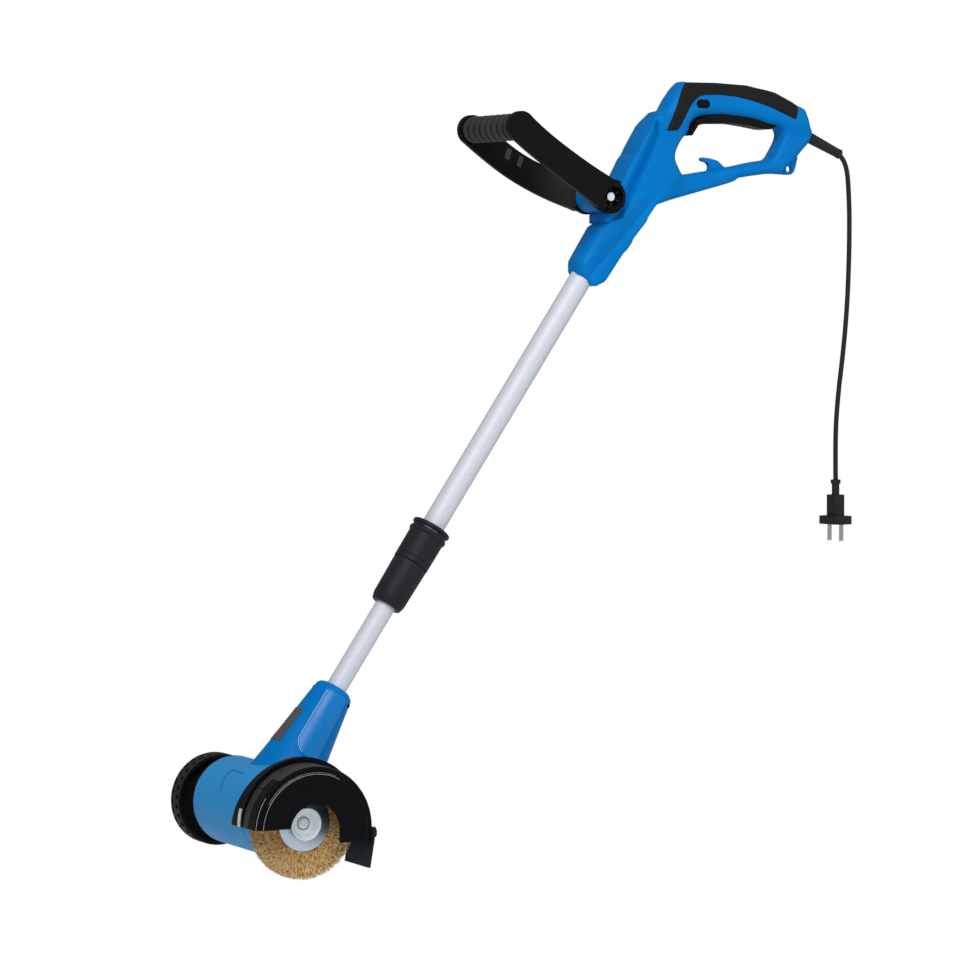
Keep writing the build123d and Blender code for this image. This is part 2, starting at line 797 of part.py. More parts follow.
# Guard: a front shell with a U notch, a step to a larger rear ring with a slanting edge, and a back wall
guard_front_bore = brush_radius + guard_drop + guard_clearance
guard_front_radius = guard_front_bore + guard_wall
guard_face_radius = guard_front_radius - guard_face_inset
guard_rear_bore = brush_radius + guard_drop + 2 * guard_clearance
guard_rear_radius = guard_rear_bore + guard_rear_wall
guard_cone_radius = guard_rear_radius - guard_cone_inset
brush_room = brush_radius + guard_clearance + seat_gap
step_far_y = guard_step_y + guard_plate
back_near_y = cover_near_y - guard_plate
plate_back_y = guard_front_y + guard_plate
collar_bore = nose_radius + free_gap
reach = 2 * guard_rear_radius
notch_x = guard_shift + notch_radius
with BuildPart() as guard:
    with BuildSketch(spindle_face(guard_rear_y)):
        Circle(guard_rear_radius)
        Circle(guard_rear_bore, mode=Mode.SUBTRACT)
    extrude(amount=guard_rear_y - guard_step_y)
    with BuildSketch(spindle_section):
        polygon_face([
            (guard_slant_y + guard_slant * reach, -reach), (guard_slant_y - guard_slant * reach, reach),
            (-guard_slant_y, reach), (-guard_slant_y, -reach),
        ])
    extrude(amount=reach, both=True, mode=Mode.SUBTRACT)
    with BuildSketch(spindle_section):
        Polygon(*[
            (cover_near_y, collar_bore), (cover_near_y, guard_cone_radius),
            (step_far_y, guard_rear_radius - guard_clearance),
            (guard_step_y, guard_rear_radius - guard_clearance), (guard_step_y, guard_rear_bore - guard_wall),
            (step_far_y, guard_rear_bore - guard_clearance),
            (back_near_y, guard_cone_radius - guard_plate), (back_near_y, collar_bore),
        ], align=None)
    revolve(axis=spindle_axis)
    with BuildSketch(spindle_face(step_far_y)):
        Circle(guard_rear_radius)
        with Locations((guard_shift, -guard_drop)):
            Circle(guard_front_radius)
        Circle(brush_room, mode=Mode.SUBTRACT)
    extrude(amount=guard_plate)
    with BuildSketch(guard_section):
        Polygon(*[
            (step_far_y, guard_front_bore), (step_far_y, guard_front_radius),
            (guard_edge_y, guard_front_radius), (guard_front_y, guard_face_radius),
            (guard_front_y, 0), (plate_back_y, 0), (plate_back_y, guard_face_radius - guard_clearance),
            (guard_edge_y, guard_front_bore),
        ], align=None)
    revolve(axis=guard_axis)
    with BuildSketch(spindle_face(cover_near_y + 1)):
        polygon_face([
            (pad_face_x, flap_top_z + 3), (reach, flap_top_z + 3), (reach, -reach), (pad_face_x, -reach),
        ])
    extrude(amount=cover_near_y - guard_front_y + 2, mode=Mode.SUBTRACT)
    with BuildSketch(spindle_face(flap_far_y)):
        polygon_face([
            (guard_front_bore - 1, guard_right_z), (pad_face_x, guard_right_z),
            (pad_face_x, flap_top_z), (guard_front_bore - 1, flap_top_z + 3),
        ])
    extrude(amount=flap_far_y - flap_near_y)
    with BuildSketch(spindle_face(cover_near_y + 1)):
        polygon_face([
            (-reach, guard_left_z), (notch_x, guard_left_z), (notch_x, guard_right_z),
            (reach, guard_right_z), (reach, -reach), (-reach, -reach),
        ])
    extrude(amount=cover_near_y - guard_front_y + 2, mode=Mode.SUBTRACT)
    with BuildSketch(spindle_face(plate_back_y + 1)):
        with Locations((guard_shift, -guard_drop)):
            Circle(notch_radius)
    extrude(amount=guard_plate + 2, mode=Mode.SUBTRACT)
    with BuildSketch(spindle_face(cover_near_y + 1)):
        for angle in guard_screw_angles:
            with PolarLocations(guard_screw_circle, 1, start_angle=angle):
                Circle(screw_radius + seat_gap)
    extrude(amount=guard_plate + 2, mode=Mode.SUBTRACT)
    pad_middle_z = motor_z + (flap_top_z + guard_right_z) / 2
    with BuildSketch(Plane(origin=(motor_x + pad_face_x, flap_knob_y, pad_middle_z),
                           x_dir=(0, 1, 0), z_dir=(1, 0, 0))):
        Circle(screw_radius + seat_gap)
    extrude(amount=-(pad_face_x - guard_front_bore + 2), mode=Mode.SUBTRACT)
save(guard, "guard")

with BuildPart() as guard_screws:
    with BuildSketch(spindle_face(back_near_y)):
        for angle in guard_screw_angles:
            with PolarLocations(guard_screw_circle, 1, start_angle=angle):
                Circle(screw_head_radius)
    extrude(amount=screw_head_height)
    with BuildSketch(spindle_face(cover_near_y + screw_depth - 1)):
        for angle in guard_screw_angles:
            with PolarLocations(guard_screw_circle, 1, start_angle=angle):
                Circle(screw_radius)
    extrude(amount=screw_depth - 1 + guard_plate)
save(guard_screws, "guard_screws")

# Deflector flap at the guard's rear end, on a flat pad, with a knurled screw
knob_z = (flap_top_z + guard_right_z) / 2
flap_back_x = pad_face_x + flap_thickness
knob_place = (motor_x + flap_back_x, flap_knob_y, motor_z + knob_z)
knob_plane = Plane(origin=knob_place, x_dir=(0, 1, 0), z_dir=(1, 0, 0))
with BuildPart() as deflector_flap:
    with BuildSketch(spindle_face(flap_far_y)):
        polygon_face([
            (pad_face_x, flap_top_z), (flap_back_x, flap_top_z), (flap_back_x, guard_right_z),
            (flap_back_x - flap_lean, flap_bottom_z), (pad_face_x - flap_lean, flap_bottom_z),
            (pad_face_x, guard_right_z),
        ])
    extrude(amount=flap_far_y - flap_near_y)
    with BuildSketch(knob_plane):
        Circle(screw_radius + seat_gap)
    extrude(amount=-flap_thickness, mode=Mode.SUBTRACT)
save(deflector_flap, "deflector_flap")

with BuildPart() as flap_knob:
    with BuildSketch(knob_plane):
        Circle(flap_knob_radius)
        with PolarLocations(flap_knob_radius, 10):
            Circle(0.8, mode=Mode.SUBTRACT)
    extrude(amount=flap_knob_height)
    with BuildSketch(knob_plane):
        Circle(screw_radius)
    extrude(amount=-(flap_back_x - guard_front_bore))
save(flap_knob, "flap_knob")

# Wheel, dished towards the motor, with two rows of tread notches, on its axle
web_far_y = web_near_y + web_thickness
hub_far_y = wheel_far_y - 1.5
rim_inner = wheel_radius - rim_thickness
with BuildPart() as wheel:
    with BuildSketch(spindle_section):
        Polygon(*[
            (hub_near_y, axle_radius + run_gap), (hub_near_y, hub_radius),
            (web_near_y, hub_radius), (web_near_y, rim_inner),
            (wheel_near_y, rim_inner), (wheel_near_y, wheel_radius - rim_chamfer),
            (wheel_near_y + rim_chamfer, wheel_radius), (wheel_far_y - rim_chamfer, wheel_radius),
            (wheel_far_y, wheel_radius - rim_chamfer), (wheel_far_y, rim_inner),
            (web_far_y, rim_inner), (web_far_y, hub_radius),
            (hub_far_y, hub_radius), (hub_far_y, axle_radius + run_gap),
        ], align=None)
    revolve(axis=spindle_axis)
    for row, start_y in enumerate((wheel_far_y - rim_chamfer, wheel_near_y + rim_chamfer + tread_width)):
        with BuildSketch(spindle_face(start_y)):
            with PolarLocations(wheel_radius, tread_count, start_angle=row * 180 / tread_count):
                Rectangle(2 * tread_depth, tread_length)
        extrude(amount=tread_width, mode=Mode.SUBTRACT)
save(wheel, "wheel")

axle_head_y = hub_far_y + free_gap
with BuildPart() as wheel_axle:
    with BuildSketch(spindle_section):
        Polygon(*[
            (axle_floor_y + 0.5, 0), (axle_floor_y + 0.5, axle_radius), (axle_head_y, axle_radius),
            (axle_head_y, axle_head_radius), (axle_head_y + axle_head_height / 2, axle_head_radius),
            (axle_head_y + axle_head_height, axle_head_radius - 3), (axle_head_y + axle_head_height, 0),
        ], align=None)
    revolve(axis=spindle_axis)
save(wheel_axle, "wheel_axle")


# Neck: a flared socket for the lower tube that saddles the motor housing, split along Y = 0
def neck_radius(s):
    return neck_top_radius + (neck_top_s - s) * math.tan(math.radians(neck_flare))


floor_s = tube_seat_s - seat_floor
lead_hole = lead_radius + free_gap
neck_screw_t = (neck_radius(neck_screw_s) + lower_tube_radius) / 2
with BuildPart() as neck_form:
    with BuildSketch(pole_side):
        Polygon(*[
            (neck_low_s, neck_radius(neck_low_s) - neck_wall), (neck_low_s, neck_radius(neck_low_s)),
            (neck_top_s - neck_round, neck_radius(neck_top_s - neck_round)),
            (neck_top_s, neck_top_radius - neck_round), (neck_top_s, lower_tube_radius + seat_gap),
            (tube_seat_s, lower_tube_radius + seat_gap), (tube_seat_s, lead_hole),
            (floor_s, lead_hole), (floor_s, neck_radius(floor_s) - neck_wall),
        ], align=None)
    revolve(axis=pole_axis)
    with BuildSketch(pole_side):
        for end in (1, -1):
            with Locations((neck_screw_s, end * neck_screw_t)):
                Circle(neck_screw_radius + seat_gap)
    extrude(amount=neck_screw_reach + seat_gap, both=True, mode=Mode.SUBTRACT)
    for end in (1, -1):
        with BuildSketch(Plane(pole_foot + Vector(0, end * neck_screw_reach, 0),
                               x_dir=pole_direction, z_dir=(0, end, 0))):
            with Locations((neck_screw_s, -neck_screw_t)):
                Circle(neck_screw_head_radius + seat_gap)
        extrude(amount=neck_top_radius, mode=Mode.SUBTRACT)
    with BuildSketch(spindle_face(2 * housing_radius)):
        with Locations((0, housing_rise)):
            Circle(housing_radius + seat_gap)
    extrude(amount=4 * housing_radius, mode=Mode.SUBTRACT)

# A raised panel on the neck's near side, with a round lower front corner
with BuildPart() as neck_panel:
    with BuildSketch(pole_side):
        Polygon(*[
            (neck_low_s, neck_radius(neck_low_s) - neck_wall / 2),
            (neck_low_s, neck_radius(neck_low_s) + panel_rise),
            (panel_top_s, neck_radius(panel_top_s) + panel_rise),
            (panel_top_s, neck_radius(panel_top_s) - neck_wall / 2),
        ], align=None)
    revolve(axis=pole_axis)
    with BuildSketch(pole_side):
        polygon_face([
            (panel_low_s + panel_round, panel_front_t), (panel_top_s, panel_front_t),
            (panel_top_s, -panel_rear_t), (panel_low_s, -panel_rear_t),
            (panel_low_s, panel_front_t - panel_round),
        ])
        with Locations((panel_low_s + panel_round, panel_front_t - panel_round)):
            Circle(panel_round)
    extrude(amount=2 * neck_radius(neck_low_s), mode=Mode.INTERSECT)

with BuildPart() as neck_shell_near:
    add(neck_form.part)
    split(bisect_by=Plane.XZ, keep=Keep.TOP)
    add(neck_panel.part)
save(neck_shell_near, "neck_shell_near")

with BuildPart() as neck_shell_far:
    add(neck_form.part)
    split(bisect_by=Plane.XZ, keep=Keep.BOTTOM)
save(neck_shell_far, "neck_shell_far")

with BuildPart() as neck_screws:
    for end in (1, -1):
        with BuildSketch(Plane(pole_foot + Vector(0, end * neck_screw_reach, 0),
                               x_dir=pole_direction, z_dir=(0, end, 0))):
            with Locations((neck_screw_s, -neck_screw_t)):
                Circle(neck_screw_head_radius)
        extrude(amount=neck_screw_head_height)
        with BuildSketch(Plane(pole_foot + Vector(0, end * neck_screw_reach, 0),
                               x_dir=pole_direction, z_dir=(0, end, 0))):
            with Locations((neck_screw_s, -neck_screw_t)):
                Circle(neck_screw_radius)
        extrude(amount=-2 * neck_screw_reach)
save(neck_screws, "neck_screws")

# Bare label plate, bent round the neck's front
label_turn = math.radians(label_half_angle)
label_normal = Vector(0, -math.cos(label_turn), 0) + pole_front * math.sin(label_turn)
label_section = Plane(origin=pole_foot, x_dir=pole_direction, z_dir=label_normal)
label_low_radius = neck_radius(label_low_s) + seat_gap
label_top_radius = neck_radius(label_top_s) + seat_gap
with BuildPart() as label_plate:
    with BuildSketch(label_section):
        Polygon(*[
            (label_low_s, label_low_radius), (label_low_s, label_low_radius + label_thickness),
            (label_top_s, label_top_radius + label_thickness), (label_top_s, label_top_radius),
        ], align=None)
    revolve(axis=pole_axis, revolution_arc=2 * label_half_angle)
save(label_plate, "label_plate")

# Pole: two tubes, the guide bush on the lower one and the coiled lead inside
lower_tube_bore = lower_tube_radius - tube_wall
upper_tube_bore = upper_tube_radius - tube_wall
with BuildPart() as lower_tube:
    with BuildSketch(pole_side):
        Polygon(*ring_outline(tube_seat_s, lower_tube_top_s, lower_tube_bore, lower_tube_radius), align=None)
    revolve(axis=pole_axis)
save(lower_tube, "lower_tube")

with BuildPart() as upper_tube:
    with BuildSketch(pole_side):
        Polygon(*ring_outline(
            upper_tube_low_s, upper_tube_top_s, upper_tube_bore, upper_tube_radius,
        ), align=None)
    revolve(axis=pole_axis)
save(upper_tube, "upper_tube")

with BuildPart() as guide_bush:
    with BuildSketch(pole_side):
        Polygon(*[
            (lower_tube_top_s + bush_length, bush_bore),
            (lower_tube_top_s + bush_length, upper_tube_bore - run_gap),
            (lower_tube_top_s, upper_tube_bore - run_gap), (lower_tube_top_s, lower_tube_bore - seat_gap),
            (lower_tube_top_s - bush_spigot, lower_tube_bore - seat_gap),
            (lower_tube_top_s - bush_spigot, bush_bore),
        ], align=None)
    revolve(axis=pole_axis)
save(guide_bush, "guide_bush")

with BuildPart() as coiled_lead:
    with BuildSketch(pole_side):
        Polygon(*ring_outline(stator_radius + 2, lead_top_s, 0, lead_radius), align=None)
    revolve(axis=pole_axis)
save(coiled_lead, "coiled_lead")

# Pole clamp: a collar on the upper tube, a twist nut and the collet that it closes on the lower tube
stub_low_s = clamp_split_s - clamp_stub_length
collar_seat = upper_tube_radius + seat_gap
ring_low_s = clamp_top_s - collar_top_height - 2.5 * collar_ring_height
with BuildPart() as clamp_collar:
    with BuildSketch(pole_side):
        Polygon(*[
            (stub_low_s, collar_seat), (stub_low_s, clamp_stub_radius), (clamp_split_s, clamp_stub_radius),
            (clamp_split_s, nut_top_radius), (ring_low_s, collar_radius), (ring_low_s, collar_ring_radius),
            (ring_low_s + collar_ring_height, collar_ring_radius),
            (ring_low_s + collar_ring_height, collar_radius),
            (clamp_top_s - collar_top_height, collar_radius),
            (clamp_top_s - collar_top_height, collar_top_radius),
            (clamp_top_s - 1, collar_top_radius),
            (clamp_top_s, collar_top_radius - 1), (clamp_top_s, collar_seat),
        ], align=None)
    revolve(axis=pole_axis)
save(clamp_collar, "clamp_collar")

nut_bore = clamp_stub_radius + free_gap
nut_top_s = clamp_split_s - free_gap
with BuildPart() as clamp_nut:
    with BuildSketch(pole_side):
        Polygon(*[
            (clamp_low_s, lower_tube_radius + free_gap), (clamp_low_s, nut_low_radius),
            (clamp_low_s + nut_bottom_taper, nut_shoulder_radius), (nut_top_s, nut_top_radius),
            (nut_top_s, nut_bore), (clamp_low_s + clamp_lip, nut_bore),
            (clamp_low_s + clamp_lip, lower_tube_radius + free_gap),
        ], align=None)
    revolve(axis=pole_axis)
save(clamp_nut, "clamp_nut")

collet_low_s = clamp_low_s + clamp_lip + free_gap
with BuildPart() as clamp_collet:
    with BuildSketch(pole_side):
        Polygon(*[
            (collet_low_s, lower_tube_radius + run_gap), (collet_low_s, collet_radius - 1),
            (collet_low_s + 4, collet_radius), (stub_low_s, collet_radius),
            (stub_low_s, lower_tube_radius + run_gap),
        ], align=None)
    revolve(axis=pole_axis)
    with BuildSketch(pole_face(collet_low_s - 1)):
        with Locations((0, collet_radius)):
            Rectangle(collet_slit, 2 * (collet_radius - lower_tube_radius) + 2)
    extrude(amount=stub_low_s - collet_low_s + 2, mode=Mode.SUBTRACT)
save(clamp_collet, "clamp_collet")

# Handle side view: the outline, the loop's opening and what stands out of it
handle_outline = [
    on_side(socket_low_s, -12.6),
    on_side(socket_low_s + 13, -19.3),
    on_side(upper_tube_top_s - 50, -20.8),
    on_side(upper_tube_top_s - 46, -22.8),
    on_side(upper_tube_top_s - 5, -25),
    on_side(upper_tube_top_s + 16, -25.3),
    (-17.6, -86.3),
    (-6, -80.6),
    (33.3, -75.0),
    (50, -75.5),
    (72, -58.5),
    (80.6, -55.7),
    (84.6, -45.0),
    (91, -33.0),
    (87, -17.0),
    (79, -3.5),
    (66.6, 1.0),
    (41.8, 12.3),
    (7.7, 19.4),
    (-32.6, 21.2),
    (-68, 20.8),
    (-75, 24.0),
    (-84, 16.0),
    (-94, 3.0),
    (-101, -9.0),
    (-111.5, -11.0),
    (-121, -24.0),
    (-136, -47.0),
    (-151, -72.0),
    (-162, -92.0),
    on_side(upper_tube_top_s - 24, 22.5),
    on_side(upper_tube_top_s - 31, 22.5),
    on_side(upper_tube_top_s - 37, 16),
    on_side(upper_tube_top_s - 41, 16),
    on_side(upper_tube_top_s - 46, 18.5),
    on_side(socket_low_s + 12, 17),
    on_side(socket_low_s, 12),
]
opening_outline = [
    (-79.0, -80.0), (-88.0, -65.4), (-88.0, -56.7), (-79.0, -40.5), (-70.0, -32.0), (-67.9, -24.4),
    (-61.5, -17.0), (-53.0, -14.7), (-25.2, -13.5), (5.0, -16.5), (28.8, -20.6), (36.5, -22.6), (50, -24.0),
    (54, -31.0), (51.5, -40.0), (38.6, -60.5), (18.5, -63.3), (-11.5, -69.3), (-40, -74.1),
]
eye_outline = [
    (36.6, -74.0), (45.0, -76.2), (63.0, -77.0), (69.4, -77.0), (73.8, -71.9), (78.1, -54.3), (60.0, -58.0),
]
hook_outline = [
    (-37, -75), (-11.5, -71), (-22, -63.5), (-29.7, -61.4), (-46, -59.6), (-47.8, -62.2), (-38, -64.6),
]
trigger_outline = [
    (-68.5, -35.5), (-65.9, -35.9), (-58.4, -24.9), (-53, -23.2), (-37.1, -22.1), (-11.3, -21.6),
    (6, -23.6), (29.9, -27.2), (36, -27.2), (43, -24), (43, -14), (34, -11.5), (-24, -8.5), (-44, -9.5),
    (-48, -14), (-60, -19),
]
trigger_room = [
    (-76, -39), (-64, -40), (-52, -29), (36, -33), (46, -27),
    (46, -10), (34, -5), (-24, 1), (-46, 1), (-62, -6),
    (-76, -26),
]
skin_outline = [
    (-102, -31.5), (-88, -31), (-71.8, -9.6), (-60, 5.0), (-50, 8.6), (-30.2, 8.8), (-3, 6.2), (36.3, -3.9),
    (65.3, -15.4), (66.6, 2.6), (42.5, 13.8), (8, 20.9), (-32.6, 22.7), (-69, 22.4), (-78, 20.0),
]


def handle_side():
    """Draws the handle's side view with the loop's opening."""
    polygon_face(handle_outline)
    polygon_face(opening_outline, mode=Mode.SUBTRACT)


body_region = [
    on_side(socket_low_s - 1, -60), on_side(body_top_s, -60),
    on_side(body_top_s, 60), on_side(socket_low_s - 1, 60),
]
body_edge = [
    on_side(upper_tube_top_s + 16, -25.3), on_side(body_top_s, -9), on_side(body_top_s, -80),
    on_side(upper_tube_top_s + 16, -80),
]
grip_region = [(-140, -30), (110, -30), (110, 60), (-140, 60)]

# Three slabs with rounded sides make the handle's outer form: body, grip, and the bar and rear post
with BuildPart() as body_slab:
    with BuildSketch(Plane.XZ):
        handle_side()
        polygon_face(body_region, mode=Mode.INTERSECT)
        polygon_face(body_edge, mode=Mode.SUBTRACT)
    extrude(amount=body_half_width, both=True)
    sides = body_slab.faces().sort_by(Axis.Y)
    fillet(sides[0].edges() + sides[-1].edges(), body_round)

with BuildPart() as bar_slab:
    with BuildSketch(Plane.XZ):
        handle_side()
    extrude(amount=bar_half_width, both=True)
    sides = bar_slab.faces().sort_by(Axis.Y)
    fillet(sides[0].edges() + sides[-1].edges(), bar_round)

with BuildPart() as grip_slab:
    with BuildSketch(Plane.XZ):
        handle_side()
        polygon_face(grip_region, mode=Mode.INTERSECT)
    extrude(amount=grip_half_width, both=True)
    sides = grip_slab.faces().sort_by(Axis.Y)
    fillet(sides[0].edges() + sides[-1].edges(), grip_round)

with BuildPart() as handle_solid:
    add(bar_slab.part)
    add(grip_slab.part)
    add(body_slab.part)
    with BuildSketch(Plane.XZ):
        polygon_face(eye_outline)
    extrude(amount=eye_half_width, both=True)
    with BuildSketch(Plane.XZ):
        polygon_face(hook_outline)
    extrude(amount=hook_half_width, both=True)
    with BuildSketch(Plane.XZ):
        with Locations((pivot_x, pivot_z)):
            Circle(barrel_radius)
    extrude(amount=barrel_half_length, both=True)

# The same, hollowed: cavities by width, room for the trigger, bosses, and all the holes
handle_screw_places = [
    on_side(upper_tube_top_s + 30, 4), on_side(upper_tube_top_s + 103, 8), (60, -8), (64, -48), (2, -72.5),
]
relief_turn = math.radians(relief_angle)
relief_direction = Vector(math.cos(relief_turn), 0, math.sin(relief_turn))
relief_place = Vector(relief_x, 0, relief_z)
relief_axis = Axis(relief_place, relief_direction)
relief_section = Plane(origin=relief_place, x_dir=relief_direction, z_dir=(0, -1, 0))
button_face_y = -grip_half_width
button_wall_y = button_face_y + button_recess
button_room = 2 * free_gap
below_cavity = [
    on_side(socket_low_s - 50, -200), on_side(cavity_low_s, -200), on_side(cavity_low_s, 200),
    on_side(socket_low_s - 50, 200),
]
with BuildPart() as screw_bosses:
    with BuildSketch(Plane.XZ):
        with Locations(*handle_screw_places):
            Circle(boss_radius)
    extrude(amount=body_half_width, both=True)
    add(handle_solid.part, mode=Mode.INTERSECT)

with BuildPart() as handle_form:
    add(handle_solid.part)
    hollows = ((bar_half_width, None), (grip_half_width, grip_region), (body_half_width, body_region))
    for half_width, region in hollows:
        with BuildSketch(Plane.XZ):
            handle_side()
            if region is not None:
                polygon_face(region, mode=Mode.INTERSECT)
            if half_width == body_half_width:
                polygon_face(body_edge, mode=Mode.SUBTRACT)
            offset(amount=-edge_wall, kind=Kind.INTERSECTION)
            polygon_face(below_cavity, mode=Mode.SUBTRACT)
        extrude(amount=half_width - shell_wall, both=True, mode=Mode.SUBTRACT)
    with BuildSketch(Plane.XZ):
        polygon_face(trigger_room)
    extrude(amount=trigger_half_width + free_gap, both=True, mode=Mode.SUBTRACT)
    # Bosses for the shell screws, the switch and the trigger's pin.
    add(screw_bosses.part)
    for side in (1, -1):
        with BuildSketch(side_face(side * (switch_half_width + seat_gap))):
            with Locations((switch_x, switch_z)):
                with GridLocations(switch_post_pitch, 1, 2, 1):
                    Circle(switch_post_radius)
        extrude(amount=-side * (grip_half_width - shell_wall / 2 - switch_half_width))
        with BuildSketch(side_face(side * (trigger_half_width + free_gap))):
            with Locations((trigger_pivot_x, trigger_pivot_z)):
                Circle(trigger_boss_radius)
        extrude(amount=-side * (grip_half_width - shell_wall / 2 - trigger_half_width - free_gap))
    with BuildSketch(Plane.XZ):
        with Locations((trigger_pivot_x, trigger_pivot_z)):
            Circle(trigger_pin_radius + seat_gap)
    extrude(amount=grip_half_width - shell_wall, both=True, mode=Mode.SUBTRACT)
    # Shell screws go in from the far side and end blind in the near shell.
    with BuildSketch(side_face(handle_screw_reach)):
        with Locations(*handle_screw_places):
            Circle(handle_screw_radius + seat_gap)
    extrude(amount=2 * handle_screw_reach, mode=Mode.SUBTRACT)
    with BuildSketch(side_face(handle_screw_reach)):
        with Locations(*handle_screw_places):
            Circle(handle_screw_head_radius + seat_gap)
    extrude(amount=-2 * body_half_width, mode=Mode.SUBTRACT)
    # Lock button's recess and hole in the near side.
    with BuildSketch(side_face(button_wall_y)):
        with Locations((button_x, button_z)):
            SlotOverall(button_length + 2 * button_recess_margin, button_height + 2 * button_recess_margin)
    extrude(amount=2 * button_recess, mode=Mode.SUBTRACT)
    with BuildSketch(side_face(button_inner_y)):
        with Locations((button_x, button_z)):
            SlotOverall(button_length + button_room, button_height + button_room)
    extrude(amount=button_inner_y - button_face_y, mode=Mode.SUBTRACT)
    # Pole socket, pivot bore, hanging eye and the strain relief's seat.
    with BuildSketch(pole_side):
        Polygon(*ring_outline(
            socket_low_s - 1, upper_tube_top_s, 0, upper_tube_radius + seat_gap,
        ), align=None)
    revolve(axis=pole_axis, mode=Mode.SUBTRACT)
    with BuildSketch(Plane.XZ):
        with Locations((pivot_x, pivot_z)):
            Circle(pivot_bolt_radius + seat_gap)
        with Locations((eye_x, eye_z)):
            Circle(eye_bore)
    extrude(amount=2 * body_half_width, both=True, mode=Mode.SUBTRACT)
    with BuildSketch(relief_section):
        Polygon(*[
            (-relief_wall - relief_flange - 2 * seat_gap, 0),
            (-relief_wall - relief_flange - 2 * seat_gap, relief_flange_radius + seat_gap),
            (-relief_wall, relief_flange_radius + seat_gap),
            (-relief_wall, relief_neck_radius + seat_gap),
            (relief_wall, relief_neck_radius + seat_gap),
            (relief_wall, 0),
        ], align=None)
    revolve(axis=relief_axis, mode=Mode.SUBTRACT)

with BuildPart() as handle_shell_near:
    add(handle_form.part)
    split(bisect_by=Plane.XZ, keep=Keep.TOP)
save(handle_shell_near, "handle_shell_near")

with BuildPart() as handle_shell_far:
    add(handle_form.part)
    split(bisect_by=Plane.XZ, keep=Keep.BOTTOM)
save(handle_shell_far, "handle_shell_far")

with BuildPart() as handle_screws:
    with BuildSketch(side_face(handle_screw_reach)):
        with Locations(*handle_screw_places):
            Circle(handle_screw_head_radius)
    extrude(amount=-handle_screw_head_height)
    with BuildSketch(side_face(handle_screw_reach)):
        with Locations(*handle_screw_places):
            Circle(handle_screw_radius)
    extrude(amount=2 * handle_screw_reach - 1)
save(handle_screws, "handle_screws")

# Soft skin over the top and the upper sides of the grip
with BuildPart() as grip_skin_band:
    with BuildSketch(Plane.XZ):
        polygon_face(skin_outline)
    extrude(amount=grip_half_width + grip_skin, both=True)
    with BuildSketch(Plane.XZ):
        polygon_face(handle_outline)
        offset(amount=seat_gap, kind=Kind.INTERSECTION)
    extrude(amount=grip_half_width + seat_gap, both=True, mode=Mode.SUBTRACT)
save(grip_skin_band, "grip_skin")

# Trigger on its pin, and the switch above it
with BuildPart() as trigger:
    with BuildSketch(Plane.XZ):
        polygon_face(trigger_outline)
        with Locations((trigger_pivot_x, trigger_pivot_z)):
            Circle(trigger_pin_radius + run_gap, mode=Mode.SUBTRACT)
    extrude(amount=trigger_half_width, both=True)
save(trigger, "trigger")

with BuildPart() as trigger_pin:
    with BuildSketch(Plane.XZ):
        with Locations((trigger_pivot_x, trigger_pivot_z)):
            Circle(trigger_pin_radius)
    extrude(amount=grip_half_width - shell_wall - seat_gap, both=True)
save(trigger_pin, "trigger_pin")

with BuildPart() as switch_body:
    with BuildSketch(Plane.XZ):
        with Locations((switch_x, switch_z)):
            Rectangle(switch_length, switch_height)
    extrude(amount=switch_half_width, both=True)
save(switch_body, "switch_body")

# Lock button, with a flange inside the shell
with BuildPart() as lock_button:
    with BuildSketch(side_face(button_inner_y)):
        with Locations((button_x, button_z)):
            SlotOverall(button_length, button_height)
    extrude(amount=button_inner_y - button_face_y - button_proud)
    with BuildSketch(side_face(button_face_y + shell_wall + free_gap + button_flange)):
        with Locations((button_x, button_z)):
            SlotOverall(button_length + 3, button_height + 3)
    extrude(amount=button_flange)
save(lock_button, "lock_button")

# Second handle: a U with splayed arms, a round bar and a ringed grip, on a bolt through the handle's barrel
bail_length = math.hypot(bail_reach_x, bail_reach_z)
bail_direction = Vector(bail_reach_x / bail_length, 0, bail_reach_z / bail_length)
bail_up = bail_direction.cross(Vector(0, 1, 0))
if bail_up.Z < 0:
    bail_up = -bail_up
bail_plan = Plane(origin=(pivot_x, 0, pivot_z), x_dir=bail_direction, z_dir=bail_up)
arm_inner = barrel_half_length + free_gap
arm_outer = arm_inner + bail_arm_thickness
boss_outer = arm_outer + bail_boss_height
spread_inner = bail_spread - bail_arm_thickness
bail_end = bail_length + bail_end_radius
bail_grip_x = pivot_x + bail_reach_x
bail_grip_z = pivot_z + bail_reach_z
bail_bar_section = Plane(origin=(bail_grip_x, 0, bail_grip_z), x_dir=(0, 1, 0), z_dir=(1, 0, 0))
bail_bar_axis = Axis((bail_grip_x, 0, bail_grip_z), (0, 1, 0))


def on_bail(u, w):
    """The side view's X and Z of a point at u along the second handle and w above its middle line."""
    point = Vector(pivot_x, 0, pivot_z) + bail_direction * u + bail_up * w
    return (point.X, point.Z)


def eye_face(y):
    """The side view's plane at a Y, centred on the second handle's pivot."""
    return Plane(origin=(pivot_x, y, pivot_z), x_dir=(1, 0, 0), z_dir=(0, -1, 0))


